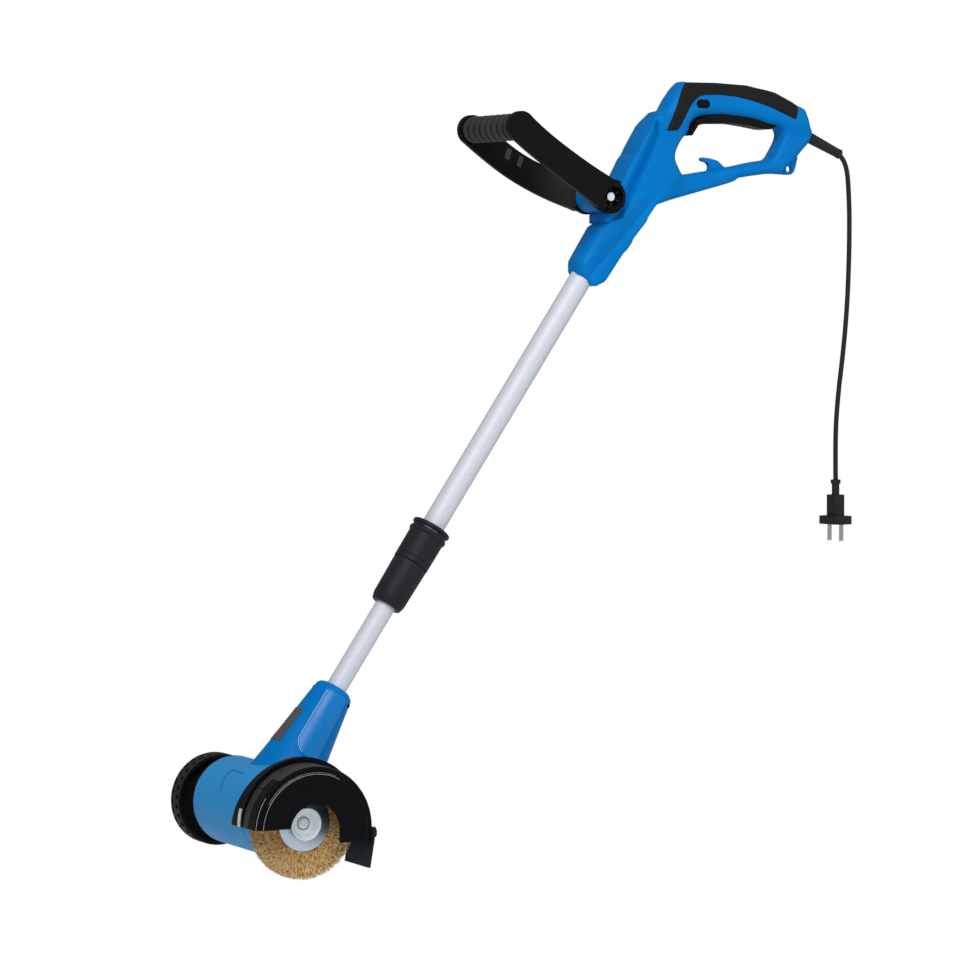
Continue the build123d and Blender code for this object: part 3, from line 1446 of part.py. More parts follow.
arms = []
for side in (-1, 1):
    with BuildPart() as bail_arm:
        with BuildSketch(bail_plan):
            with BuildLine():
                inner = ThreePointArc(
                    (bail_bend_start, side * arm_inner), (bail_bend_middle, side * bail_bend_inner),
                    (bail_bend_end, side * spread_inner),
                )
                outer = ThreePointArc(
                    (bail_bend_start, side * boss_outer),
                    (bail_bend_middle, side * (bail_bend_inner + bail_arm_thickness)),
                    (bail_bend_end, side * bail_spread),
                )
                Polyline(
                    inner @ 0, (-bail_eye_radius, side * arm_inner),
                    (-bail_eye_radius, side * boss_outer), outer @ 0,
                )
                Polyline(
                    inner @ 1, (bail_end, side * spread_inner),
                    (bail_end, side * bail_spread), outer @ 1,
                )
            make_face()
        extrude(amount=2 * bail_eye_radius, both=True)
        with BuildSketch(Plane.XZ):
            with BuildLine():
                top = ThreePointArc(
                    on_bail(0, bail_eye_radius), on_bail(bail_length / 2, bail_middle_radius - bail_sag),
                    on_bail(bail_length, bail_end_radius),
                )
                bottom = ThreePointArc(
                    on_bail(0, -bail_eye_radius), on_bail(bail_length / 2, -bail_middle_radius - bail_sag),
                    on_bail(bail_length, -bail_end_radius),
                )
                Line(top @ 0, bottom @ 0)
                Line(top @ 1, bottom @ 1)
            make_face()
            with Locations((pivot_x, pivot_z)):
                Circle(bail_eye_radius)
            with Locations((bail_grip_x, bail_grip_z)):
                Circle(bail_end_radius)
        extrude(amount=bail_spread, both=True, mode=Mode.INTERSECT)
    arms.append(bail_arm.part)

with BuildPart() as bail_arms:
    for arm in arms:
        add(arm)
    with BuildSketch(bail_bar_section):
        Polygon(*ring_outline(-spread_inner - 1, spread_inner + 1, 0, bail_bar_radius), align=None)
    revolve(axis=bail_bar_axis)
    for side in (1, -1):
        with BuildSketch(eye_face(side * (arm_outer - bail_pocket_depth))):
            for rib in range(bail_pocket_ribs):
                pocket_turn = rib * 360 / bail_pocket_ribs
                sector(bail_pocket_hub, bail_pocket_radius, pocket_turn, 180 / bail_pocket_ribs - 4)
        extrude(amount=-side * bail_pocket_depth, mode=Mode.SUBTRACT)
        with BuildSketch(eye_face(side * arm_outer)):
            Circle(bail_recess_radius)
            sector(bail_boss_radius, 2 * bail_eye_radius, bail_boss_turn, bail_boss_half_turn)
        extrude(amount=-side * bail_boss_height, mode=Mode.SUBTRACT)
    with BuildSketch(Plane.XZ):
        with Locations((pivot_x, pivot_z)):
            Circle(pivot_bolt_radius + run_gap)
    extrude(amount=bail_spread, both=True, mode=Mode.SUBTRACT)
    with BuildSketch(side_face(-arm_outer + pivot_head_height + run_gap)):
        with Locations((pivot_x, pivot_z)):
            Circle(pivot_head_radius + run_gap)
    extrude(amount=2 * pivot_head_height, mode=Mode.SUBTRACT)
save(bail_arms, "bail_arms")

ring_pitch_y = 2 * spread_inner / bail_grip_rings
grip_points = [(-spread_inner, bail_bar_radius + seat_gap)]
for ring in range(bail_grip_rings):
    ring_start = -spread_inner + ring * ring_pitch_y
    grip_points += [
        (ring_start, bail_grip_radius - bail_ring_groove), (ring_start + 2, bail_grip_radius),
        (ring_start + ring_pitch_y - 2, bail_grip_radius),
    ]
grip_points += [
    (spread_inner, bail_grip_radius - bail_ring_groove), (spread_inner, bail_bar_radius + seat_gap),
]
with BuildPart() as bail_grip:
    with BuildSketch(bail_bar_section):
        Polygon(*grip_points, align=None)
    revolve(axis=bail_bar_axis)
save(bail_grip, "bail_grip")

nut_face_y = arm_outer + free_gap
with BuildPart() as bail_bolt:
    with BuildSketch(pivot_section):
        Polygon(*[
            (nut_face_y + pivot_nut_height + 1, 0), (nut_face_y + pivot_nut_height + 1, pivot_bolt_radius),
            (-arm_outer + pivot_head_height, pivot_bolt_radius),
            (-arm_outer + pivot_head_height, pivot_head_radius),
            (-arm_outer, pivot_head_radius), (-arm_outer, 0),
        ], align=None)
    revolve(axis=pivot_axis)
save(bail_bolt, "bail_bolt")

with BuildPart() as bail_nut:
    with BuildSketch(side_face(nut_face_y)):
        with Locations((pivot_x, pivot_z)):
            RegularPolygon(pivot_nut_radius, 6)
            Circle(pivot_bolt_radius + seat_gap, mode=Mode.SUBTRACT)
    extrude(amount=-pivot_nut_height)
save(bail_nut, "bail_nut")

# Strain relief, cord and plug
with BuildPart() as strain_relief:
    with BuildSketch(relief_section):
        Polygon(*[
            (-relief_wall - relief_flange - seat_gap, 0),
            (-relief_wall - relief_flange - seat_gap, relief_flange_radius),
            (-relief_wall - seat_gap, relief_flange_radius),
            (-relief_wall - seat_gap, relief_neck_radius),
            (relief_wall / 2, relief_neck_radius),
            (relief_wall / 2, relief_radius),
            (relief_length, relief_tip_radius),
            (relief_length, 0),
        ], align=None)
    revolve(axis=relief_axis)
save(strain_relief, "strain_relief")

relief_tip = relief_place + relief_direction * relief_length
lead_out = relief_tip + relief_direction * cord_lead_out
cord_points = [relief_tip, lead_out] + [Vector(x, 0, z) for x, z in cord_route]
cord_radii = []
for before, corner, after in zip(cord_points, cord_points[1:], cord_points[2:]):
    run_in = corner - before
    run_out = after - corner
    half_turn = math.radians(run_in.get_angle(run_out)) / 2
    cord_radii.append(0.45 * min(run_in.length, run_out.length) / math.tan(half_turn))
print("cord bends, mm:", [round(radius, 1) for radius in cord_radii])
with BuildPart() as cord:
    with BuildLine() as cord_line:
        FilletPolyline(*cord_points, radius=cord_radii)
    with BuildSketch(Plane(origin=relief_tip, x_dir=(0, 1, 0), z_dir=relief_direction)):
        Circle(cord_diameter / 2)
    sweep()
save(cord, "cord")
print("cord length, mm:", round(sum(edge.length for edge in cord_line.edges()), 1))

plug_place = cord_points[-1]
plug_turned = math.radians(plug_turn)
plug_across = Vector(math.cos(plug_turned), math.sin(plug_turned), 0)


def plug_face(depth):
    """A plane across the plug, at a depth below the cord's end, with the pins along its X."""
    return Plane(origin=plug_place - Vector(0, 0, depth), x_dir=plug_across, z_dir=(0, 0, -1))


neck_depth = plug_collar_height + plug_neck_height
flange_depth = neck_depth + plug_body_height
with BuildPart() as plug_body:
    with BuildSketch(plug_face(0)):
        Circle(plug_collar_radius)
    extrude(amount=plug_collar_height)
    with BuildSketch(plug_face(plug_collar_height)):
        Circle(plug_neck_radius)
    extrude(amount=plug_neck_height)
    with BuildSketch(plug_face(neck_depth)):
        RectangleRounded(plug_body_width, plug_body_depth, plug_body_depth / 3)
    extrude(amount=plug_body_height)
    with BuildSketch(plug_face(flange_depth)):
        RectangleRounded(plug_flange_width, plug_flange_depth, plug_flange_depth / 3)
    extrude(amount=plug_flange_height)
    with BuildSketch(plug_face(flange_depth)):
        with GridLocations(plug_pin_pitch, 1, 2, 1):
            Circle(plug_pin_root + seat_gap)
    extrude(amount=plug_flange_height, mode=Mode.SUBTRACT)
save(plug_body, "plug_body")

with BuildPart() as plug_pins:
    with BuildSketch(plug_face(flange_depth + seat_gap)):
        with GridLocations(plug_pin_pitch, 1, 2, 1):
            Circle(plug_pin_root)
    extrude(amount=plug_flange_height - seat_gap)
    with BuildSketch(plug_face(flange_depth + plug_flange_height)):
        with GridLocations(plug_pin_pitch, 1, 2, 1):
            Circle(plug_pin_radius)
    extrude(amount=plug_pin_length)
save(plug_pins, "plug_pins")
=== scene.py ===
import bpy
import bmesh
import json
import random
from math import asin, cos, pi, radians, sin, sqrt, tan
import numpy as np
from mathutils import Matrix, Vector
from mathutils.geometry import delaunay_2d_cdt


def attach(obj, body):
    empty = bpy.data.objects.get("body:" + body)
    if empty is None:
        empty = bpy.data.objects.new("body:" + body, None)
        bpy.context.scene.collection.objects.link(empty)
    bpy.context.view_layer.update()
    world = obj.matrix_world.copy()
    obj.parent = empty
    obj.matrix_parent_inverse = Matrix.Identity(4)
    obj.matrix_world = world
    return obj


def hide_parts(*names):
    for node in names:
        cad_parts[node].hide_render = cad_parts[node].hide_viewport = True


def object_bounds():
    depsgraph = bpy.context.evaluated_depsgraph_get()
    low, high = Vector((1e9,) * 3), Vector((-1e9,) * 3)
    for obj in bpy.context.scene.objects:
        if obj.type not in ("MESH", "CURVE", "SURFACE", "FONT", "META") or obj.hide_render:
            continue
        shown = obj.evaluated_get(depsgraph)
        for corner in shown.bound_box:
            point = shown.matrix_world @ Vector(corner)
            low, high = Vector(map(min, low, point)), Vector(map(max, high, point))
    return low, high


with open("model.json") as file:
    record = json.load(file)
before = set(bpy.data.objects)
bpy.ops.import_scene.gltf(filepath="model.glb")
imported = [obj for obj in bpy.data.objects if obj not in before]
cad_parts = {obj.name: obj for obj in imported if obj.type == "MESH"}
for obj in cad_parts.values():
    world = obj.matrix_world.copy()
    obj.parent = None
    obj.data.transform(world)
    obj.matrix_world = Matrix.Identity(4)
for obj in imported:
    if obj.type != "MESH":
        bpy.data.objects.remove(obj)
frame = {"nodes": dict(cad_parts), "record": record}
cad_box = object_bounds()

# An electric joint brush. Sizes are in millimetres in the CAD frame: the origin is the middle
# of the main grip, +Z is up, -Y is the brush's side and the pole lies in the plane Y = 0.
MM = 0.001
right = np.array((1.0, 0.0, 0.0))
across = np.array((0.0, 1.0, 0.0))
upward = np.array((0.0, 0.0, 1.0))


def spoke(angle, first=right, second=upward):
    """The direction at an angle from the first direction towards the second."""
    return cos(angle) * first + sin(angle) * second


# The spindle's place, and the pole's: measured along itself (s) and forwards from its axis (t)
spindle = np.array((-585.0, 0.0, -748.0))
pole_lean = radians(55.5)
pole_along = spoke(pole_lean)
pole_front = spoke(pole_lean, upward, -right)
pole_offset = 2.6
pole_foot = spindle - pole_offset * pole_front
pole_length = 775.0
pole_draw = 122.0
tube_middle_radius = 11.9

# Second handle: its pivot, half the room between its arms and the rings on its grip
pivot = np.array((-178.5, 0.0, -104.5))
bail_inside = 52.0
grip_rings = 8
ring_pitch = 2 * bail_inside / grip_rings
groove_half_width = 1.5

# Camera, at the photograph's viewing angle, and the floor and lamps round the object
camera_place = (-2246.3, -3571.6, -201.5)
camera_target = (-324.32, 0.0, -408.47)
camera_lens = 142.09
camera_sensor = 36.0
view_depth = 50000.0
floor_reach = 8000.0
lamp_target = (-300.0, 0.0, -400.0)

# Mains lead: near the route of the CAD cord, a little lower where it leaves the strain relief
cord_diameter = 5.5
relief_end = np.array((135.2, 0.0, -53.2))
relief_turn = radians(-23.8)
relief_along = spoke(relief_turn)
relief_up = spoke(relief_turn, upward, -right)
relief_length = 54.0
cord_start = 8.0
cord_lead_out = 10.0
cord_exit = relief_end - cord_start * relief_along
cord_route = [
    cord_exit, cord_exit + cord_lead_out * relief_along,
    (145.5, 0, -70), (147.8, 0, -104), (148.6, 0, -126), (148.2, 0, -172), (146, 0, -224),
    (141, 0, -275), (134, 0, -325), (130.6, 0, -372), (131.6, 0, -419),
]


def on_pole(s, t=0.0, y=0.0):
    """A point beside the pole's axis."""
    return pole_foot + s * pole_along + t * pole_front + y * across


def by_tube(s, t):
    """The side view's X and Z of a point measured from the pole's upper end."""
    point = on_pole(pole_length + s, t)
    return (point[0], point[2])


def pole_side(x, z):
    """A side view place measured from the pole's upper end."""
    end = on_pole(pole_length)
    s = (x - end[0]) * pole_along[0] + (z - end[2]) * pole_along[2]
    t = (x - end[0]) * pole_front[0] + (z - end[2]) * pole_front[2]
    return s, t


# Material nodes: a function that adds nodes returns the output with its result

edge_softness = 0.6
materials = {}


def new_material(name):
    """An empty node material, kept under its name: returns its tree and shader."""
    material = bpy.data.materials.new(name)
    material.use_nodes = True
    materials[name] = material
    tree = material.node_tree
    return tree, tree.nodes["Principled BSDF"]


def feed(node, inputs):
    """Sets a node's inputs to plain values, or joins them to outputs of other nodes."""
    for key, value in inputs.items():
        if isinstance(value, bpy.types.NodeSocket):
            node.id_data.links.new(value, node.inputs[key])
        else:
            node.inputs[key].default_value = value


def add_node(tree, kind, output, inputs=None, **settings):
    """A node with its settings and inputs: returns one of its outputs."""
    node = tree.nodes.new("ShaderNode" + kind)
    for key, value in settings.items():
        setattr(node, key, value)
    feed(node, inputs or {})
    return node.outputs[output]


def object_place(tree):
    """A place on the object in its own metres."""
    return add_node(tree, "TexCoord", "Object")


def calculate(tree, operation, *values):
    """One sum over plain values and other outputs."""
    return add_node(tree, "Math", "Value", dict(enumerate(values)), operation=operation)


def vector_sum(tree, operation, output, *values):
    """One sum over plain vectors and other outputs."""
    return add_node(tree, "VectorMath", output, dict(enumerate(values)), operation=operation)


def parts_of(tree, vector):
    """The X, Y and Z of a vector."""
    return add_node(tree, "SeparateXYZ", "X", {"Vector": vector}).node.outputs


def noise(tree, scale, detail=3.0, place=None):
    """Noise in the object's own metres, so that its grain has a real size, or over another place."""
    return add_node(tree, "TexNoise", "Fac", {
        "Vector": object_place(tree) if place is None else place, "Scale": scale, "Detail": detail,
    })


def ramp(tree, source, stops):
    """A colour ramp over a source: stops are (place, colour)."""
    tint = add_node(tree, "ValToRGB", "Color", {"Fac": source})
    band = tint.node.color_ramp
    while len(band.elements) < len(stops):
        band.elements.new(0.5)
    for element, (place, colour) in zip(band.elements, stops):
        element.position = place
        element.color = (*colour, 1.0)
    return tint


def spread(tree, source, low, high, start=0.3, end=0.7):
    """A source in 0.3 to 0.7, or in another range, spread over a range of values."""
    return add_node(tree, "MapRange", "Result", {
        "Value": source, "From Min": start, "From Max": end, "To Min": low, "To Max": high,
    })


def shaded(colour, share):
    """A darker or lighter shade of a colour."""
    return tuple(min(1.0, channel * share) for channel in colour)


def drifting(tree, source, colour, drift):
    """The colour, from a little darker to a little lighter over a source."""
    return ramp(tree, source, [(0.3, shaded(colour, 1 - drift)), (0.7, shaded(colour, 1 + drift))])


def bump(tree, source, strength, depth):
    """Surface relief of a real depth in millimetres, over softened edges."""
    soft = add_node(tree, "Bevel", "Normal", {"Radius": edge_softness * MM}, samples=6)
    return add_node(tree, "Bump", "Normal", {
        "Strength": strength, "Distance": depth * MM, "Height": source, "Normal": soft,
    })


def round_spindle(tree):
    """The angle round the spindle's axis, and the distance from it in metres."""
    offset = vector_sum(tree, "SUBTRACT", "Vector", object_place(tree), tuple(spindle * MM))
    flat = vector_sum(tree, "MULTIPLY", "Vector", offset, (1, 0, 1))
    parts = parts_of(tree, flat)
    angle = calculate(tree, "ARCTAN2", parts["Z"], parts["X"])
    return angle, vector_sum(tree, "LENGTH", "Value", flat)


def in_box(low, high):
    """The places inside a box, in millimetres."""
    def share(tree):
        parts = parts_of(tree, object_place(tree))
        found = 1.0
        for axis, start, end in zip("XYZ", low, high):
            middle = (start + end) / 2 * MM
            near = calculate(tree, "COMPARE", parts[axis], middle, (end - start) / 2 * MM)
            found = calculate(tree, "MULTIPLY", near, found)
        return found
    return share


def beyond(reach):
    """The places further than a distance from the spindle's axis, in millimetres."""
    return lambda tree: calculate(tree, "GREATER_THAN", round_spindle(tree)[1], reach * MM)


def grooves(start, pitch, half_width):
    """Narrow bands at equal steps along Y, in millimetres."""
    def share(tree):
        parts = parts_of(tree, object_place(tree))
        steps = calculate(tree, "MULTIPLY_ADD", parts["Y"], 1 / (pitch * MM), 0.5 - start / pitch)
        return calculate(tree, "COMPARE", calculate(tree, "FRACT", steps), 0.5, half_width / pitch)
    return share


# Kinds of material

def plastic_finish(tree, shader, colour, roughness, specular, grain, grain_depth):
    """Fine grain, and patches of wear in the gloss."""
    feed(shader, {
        "Base Color": colour,
        "Roughness": spread(tree, noise(tree, 55.0, 5.0), roughness - 0.05, roughness + 0.06),
        "Specular IOR Level": specular,
        "Normal": bump(tree, noise(tree, grain, 2.0), 0.5, grain_depth),
    })


def metal_finish(tree, shader, colour, marks, gloss, share, depth):
    """Fine marks over a range of gloss: share is how metallic the surface is."""
    feed(shader, {
        "Base Color": colour,
        "Roughness": spread(tree, marks, *gloss),
        "Metallic": share,
        "Normal": bump(tree, marks, 0.3, depth),
    })


def moulded(name, colour, roughness, grain=1500.0, grain_depth=0.03, drift=0.06, specular=0.25):
    """Moulded plastic with a slow drift of colour."""
    tree, shader = new_material(name)
    tint = drifting(tree, noise(tree, 14.0), colour, drift)
    plastic_finish(tree, shader, tint, roughness, specular, grain, grain_depth)


def two_tone(name, first, second, share_of, roughness, specular, drift=0.1):
    """Moulded plastic of two shades: share_of gives where the second one is, which drifts more."""
    tree, shader = new_material(name)
    mix = add_node(tree, "Mix", "Result", {
        "Factor": share_of(tree),
        "A": drifting(tree, noise(tree, 30.0), first, 0.08),
        "B": drifting(tree, noise(tree, 160.0, 4.0), second, drift),
    }, data_type="RGBA")
    plastic_finish(tree, shader, mix, roughness, specular, 900.0, 0.02)


def metal(name, colour, roughness, scratch=900.0, drift=0.06, share=1.0):
    """Metal whose colour drifts with its marks."""
    tree, shader = new_material(name)
    marks = noise(tree, scratch, 4.0)
    tint = drifting(tree, marks, colour, drift)
    metal_finish(tree, shader, tint, marks, (roughness - 0.05, roughness + 0.08), share, 0.01)


def zinc_with_painted_shadow(name, colour, reach, direction):
    """Zinc with a painted shadow: it darkens towards one side, where the guard shades the plates."""
    tree, shader = new_material(name)
    offset = add_node(tree, "Mapping", "Vector", {
        "Vector": object_place(tree), "Location": tuple(-spindle / reach), "Scale": (1 / (reach * MM),) * 3,
    })
    share = spread(tree, vector_sum(tree, "DOT_PRODUCT", "Value", offset, direction), 0.0, 1.0, -1.0, 1.0)
    stops = [(0.15, colour), (0.55, shaded(colour, 0.42)), (0.85, shaded(colour, 0.12))]
    tint = ramp(tree, share, stops)
    metal_finish(tree, shader, tint, noise(tree, 260.0, 4.0), (0.28, 0.42), 0.8, 0.02)


def wires(name, stops, roughness):
    """Crimped wires: each strand has its own shade, in streaks from the spindle that pale to the tips."""
    tree, shader = new_material(name)
    angle, radius = round_spindle(tree)
    streak = add_node(tree, "CombineXYZ", "Vector", {
        "X": calculate(tree, "MULTIPLY", angle, 50.0),
        "Y": calculate(tree, "MULTIPLY", radius, 220.0),
    })
    crimps = noise(tree, 1.0, 1.0, streak)
    along = spread(tree, crimps, -0.14, 0.92, 0.37, 0.62)
    paler = spread(tree, radius, -0.16, 0.08, 0.030, 0.056)
    strand = add_node(tree, "NewGeometry", "Random Per Island")
    shade = calculate(tree, "MULTIPLY_ADD", strand, 0.4, along)
    tint = ramp(tree, calculate(tree, "ADD", shade, paler), stops)
    gloss = (roughness - 0.08, roughness + 0.1)
    metal_finish(tree, shader, tint, noise(tree, 2500.0, 2.0), gloss, 0.05, 0.02)


# Blue, black and grey plastics

moulded("blue_shell", (0.0, 0.178, 0.54), 0.42, specular=0.05)
moulded("blue_cast", (0.022, 0.290, 0.66), 0.42, grain=1100.0, grain_depth=0.05, specular=0.12)
moulded("blue_panel", (0.0, 0.185, 0.55), 0.32, specular=0.3)
# A pale blue for the neck panel's front edge: a painted highlight.
moulded("blue_edge_highlight", (0.30, 0.58, 0.88), 0.35)
moulded("seam_dark", (0.004, 0.03, 0.08), 0.6)
moulded("black_plastic", (0.0055, 0.0055, 0.006), 0.42, specular=0.07)
moulded("clamp_black", (0.0165, 0.018, 0.0225), 0.46, specular=0.12)
# A light grey for the line in the collar's slot: a painted highlight.
moulded("clamp_highlight", (0.10, 0.105, 0.12), 0.4)
# The pale strip inside this box on the black guard is a painted highlight.
painted_highlight_strip = in_box(
    spindle + np.array((-80.0, -96.5, -12.0)), spindle + np.array((-64.0, -89.5, 18.0)),
)
two_tone("black_guard", (0.0035, 0.0038, 0.005), (0.60, 0.58, 0.53), painted_highlight_strip, 0.32, 0.06, 0.35)
moulded("guard_grey", (0.036, 0.036, 0.034), 0.5, drift=0.3, specular=0.2)
# A pale grey for the lines along the guard's edges: painted highlights.
moulded("guard_edge_highlight", (0.42, 0.42, 0.40), 0.35, drift=0.35)
moulded("flap_black", (0.012, 0.012, 0.012), 0.4, specular=0.15)
moulded("soft_black", (0.012, 0.0115, 0.012), 0.6, grain=2600.0, grain_depth=0.08, specular=0.1)
# The grooves between the grip's rings are painted near black: painted shade in the grooves.
painted_groove_shade = grooves(-bail_inside, ring_pitch, groove_half_width)
two_tone("ribbed_black_groove_shade", (0.036, 0.036, 0.032), (0.004, 0.004, 0.004), painted_groove_shade, 0.5, 0.2)
moulded("eye_rib", (0.075, 0.075, 0.075), 0.4)
moulded("arm_patch", (0.040, 0.038, 0.050), 0.4, specular=0.2)
# The wheel's face, within 47.7 mm of the spindle, is painted darker than its tread: painted shade.
two_tone("wheel_black_shaded_face", (0.004, 0.004, 0.004), (0.020, 0.020, 0.019), beyond(47.7), 0.5, 0.1)
moulded("label_grey", (0.075, 0.08, 0.09), 0.45, grain=700.0, grain_depth=0.01)
moulded("cord_black", (0.012, 0.012, 0.012), 0.45, grain=1800.0, grain_depth=0.02)
moulded("inner_plastic", (0.20, 0.18, 0.15), 0.50)

# Metals and wires

metal("tube_metal", (0.62, 0.655, 0.73), 0.55, scratch=420.0, drift=0.025, share=0.12)
metal("zinc", (0.85, 0.92, 0.98), 0.34, scratch=240.0, drift=0.06, share=0.2)
# The side plates' zinc is painted darker towards the upper right: a painted shadow from the guard.
zinc_with_painted_shadow("plate_zinc_painted_shadow", (0.60, 0.70, 0.80), 28.5, (0.5, 0.0, 0.85))
metal("steel", (0.66, 0.68, 0.71), 0.28)
metal("pin_metal", (0.72, 0.71, 0.68), 0.22)
metal("copper", (0.60, 0.27, 0.14), 0.35)
metal("die_cast", (0.48, 0.48, 0.50), 0.45, scratch=400.0)
# The core stands for the wires' inner mass; its dark colour is painted shade between the strands.
moulded("wire_core_shade", (0.36, 0.155, 0.022), 0.7)
wire_stops = [
    (0.05, (0.22, 0.075, 0.006)), (0.30, (1.0, 0.44, 0.050)),
    (0.58, (1.0, 0.66, 0.17)), (0.92, (1.0, 0.90, 0.58)),
]
wires("wire_gold", wire_stops, 0.38)

# The CAD nodes' materials: most slots have the name of theirs, and some nodes have their own

slot_materials = {"label": "label_grey", "tube": "tube_metal", "wire": "wire_gold"}
node_materials = {
    "motor_housing": "blue_cast",
    "gearbox_cover": "blue_cast",
    "guard": "black_guard",
    "wheel": "wheel_black_shaded_face",
    "deflector_flap": "flap_black",
    "flap_knob": "flap_black",
    "neck_screws": "black_plastic",
    "trigger_pin": "blue_shell",
    "plug_body": "cord_black",
    "brush_side_plates": "plate_zinc_painted_shadow",
}
for subpart in frame["record"]["subparts"]:
    slot = subpart["material_slot"]
    material = node_materials.get(subpart["node"], slot_materials.get(slot, slot))
    node_slots = frame["nodes"][subpart["node"]].data.materials
    node_slots.clear()
    node_slots.append(materials[material])


# Shapes: each is a list of points in millimetres and a list of faces

def joined(shapes):
    """Several shapes as one."""
    points = []
    faces = []
    for some_points, some_faces in shapes:
        start = len(points)
        points.extend(some_points)
        faces.extend([tuple(start + index for index in face) for face in some_faces])
    return points, faces


def add_object(name, data):
    """An object in the scene."""
    thing = bpy.data.objects.new(name, data)
    bpy.context.scene.collection.objects.link(thing)
    return thing


def make_piece(name, shapes, material, body, nodes=(), crease=32.0):
    """A smooth shaded mesh that rides on a body and stands for the CAD nodes it is given."""
    points, faces = joined(shapes)
    mesh = bpy.data.meshes.new(name)
    mesh.from_pydata((np.array(points, dtype=float) * MM).tolist(), [], faces)
    work = bmesh.new()
    work.from_mesh(mesh)
    bmesh.ops.remove_doubles(work, verts=work.verts, dist=0.0001 * MM)
    bmesh.ops.recalc_face_normals(work, faces=work.faces)
    work.to_mesh(mesh)
    work.free()
    mesh.validate()
    mesh.shade_smooth()
    mesh.set_sharp_from_angle(angle=radians(crease))
    piece = add_object(name, mesh)
    mesh.materials.append(materials[material])
    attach(piece, body)
    if nodes:
        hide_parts(*nodes)


def grid_faces(rows, columns, closed_rows=False, closed_columns=True, start=0):
    """Four sided faces over a grid of points that are listed row by row."""
    faces = []
    for row in range(rows if closed_rows else rows - 1):
        here = start + row * columns
        after = start + (row + 1) % rows * columns
        for column in range(columns if closed_columns else columns - 1):
            beside = (column + 1) % columns
            faces.append((here + column, here + beside, after + beside, after + column))
    return faces


def end_faces(rows, columns):
    """The faces over a grid's first and last rows."""
    last = (rows - 1) * columns
    return [tuple(range(columns)), tuple(last + column for column in reversed(range(columns)))]


def open_edges(faces):
    """The edges that only one face has."""
    uses = {}
    for face in faces:
        for one, two in zip(face, face[1:] + face[:1]):
            uses.setdefault((min(one, two), max(one, two)), []).append((one, two))
    return [ways[0] for ways in uses.values() if len(ways) == 1]


def turned(profile, origin, axis, first, second, steps=96, span=None):
    """A closed profile of (along, radius) turned round an axis, wholly or over a span for its radius."""
    whole = span is None
    rows = steps if whole else steps + 1
    points = []
    for row in range(rows):
        for along, radius in profile:
            start, end = (0.0, 2 * pi) if whole else span(radius)
            angle = start + (end - start) * row / steps
            points.append(origin + along * axis + radius * spoke(angle, first, second))
    faces = grid_faces(rows, len(profile), whole)
    if not whole:
        faces += end_faces(rows, len(profile))
    return points, faces


def round_y(profile, origin, steps=96, span=None):
    """A closed profile of (Y, radius) turned round an axis along Y."""
    return turned(profile, origin, across, right, upward, steps, span)


def tube_along(route, radius, sides=8):
    """A thin round bar along a route of points."""
    route = [np.array(point, dtype=float) for point in route]
    points = []
    for place, point in enumerate(route):
        ahead = route[min(place + 1, len(route) - 1)] - route[max(place - 1, 0)]
        ahead /= np.linalg.norm(ahead)
        side = np.cross(ahead, upward if abs(ahead[2]) < 0.9 else right)
        side /= np.linalg.norm(side)
        top = np.cross(side, ahead)
        for corner in range(sides):
            points.append(point + radius * spoke(2 * pi * corner / sides, side, top))
    return points, grid_faces(len(route), sides) + end_faces(len(route), sides)


def thin_sheet(rows, columns, place, proud, sunk):
    """A thin closed sheet over a grid of places."""
    points = [place(row, column, level) for level in (proud, -sunk) for row in rows for column in columns]
    wide = len(columns)
    size = len(rows) * wide
    outer = grid_faces(len(rows), wide, closed_columns=False)
    inner = [tuple(size + index for index in reversed(face)) for face in outer]
    rim = [(two, one, size + one, size + two) for one, two in open_edges(outer)]
    return points, outer + inner + rim


# Outlines in the side view, and half mouldings over them

def soften(corners, size, steps=5):
    """A closed outline with its corners rounded, no further than the edges beside them allow."""
    corners = [np.array(corner, dtype=float) for corner in corners]
    points = []
    for place, corner in enumerate(corners):
        before = corners[place - 1] - corner
        after = corners[(place + 1) % len(corners)] - corner
        start = corner + before * min(0.45, size / np.linalg.norm(before))
        end = corner + after * min(0.45, size / np.linalg.norm(after))
        for step in range(steps + 1):
            share = step / steps
            bend = 2 * share * (1 - share) * corner
            points.append((1 - share) ** 2 * start + bend + share ** 2 * end)
    return np.array(points)


def circle(centre, radius, steps=24):
    """A round outline."""
    angles = np.arange(steps) * 2 * pi / steps
    return np.stack((centre[0] + radius * np.cos(angles), centre[1] + radius * np.sin(angles)), axis=1)


def slot_outline(centre, half, radius, steps=8):
    """A slot along X with round ends."""
    points = []
    for way, start in ((1, -90), (-1, 90)):
        middle = centre[0] + way * half
        for step in range(steps + 1):
            angle = radians(start + 180 * step / steps)
            points.append((middle + radius * cos(angle), centre[1] + radius * sin(angle)))
    return np.array(points)


def resample(outline, spacing):
    """A closed outline with its long edges cut to a spacing."""
    points = []
    for start, end in zip(outline, np.roll(outline, -1, axis=0)):
        parts = max(1, int(np.ceil(np.linalg.norm(end - start) / spacing)))
        for part in range(parts):
            points.append(start + (end - start) * part / parts)
    return np.array(points)


def inside(points, outline):
    """Which points lie inside a closed outline."""
    hits = np.zeros(len(points), dtype=bool)
    for (x1, z1), (x2, z2) in zip(outline, np.roll(outline, -1, axis=0)):
        if z1 == z2:
            continue
        crosses = (points[:, 1] > min(z1, z2)) & (points[:, 1] <= max(z1, z2))
        hits ^= crosses & (points[:, 0] < x1 + (points[:, 1] - z1) * (x2 - x1) / (z2 - z1))
    return hits


def edge_distance(points, outline):
    """How far points lie from the nearest edge of a closed outline."""
    best = np.full(len(points), 1e9)
    for start, end in zip(outline, np.roll(outline, -1, axis=0)):
        edge = end - start
        share = np.clip((points - start) @ edge / max(edge @ edge, 1e-12), 0.0, 1.0)
        best = np.minimum(best, np.linalg.norm(points - start - share[:, None] * edge, axis=1))
    return best


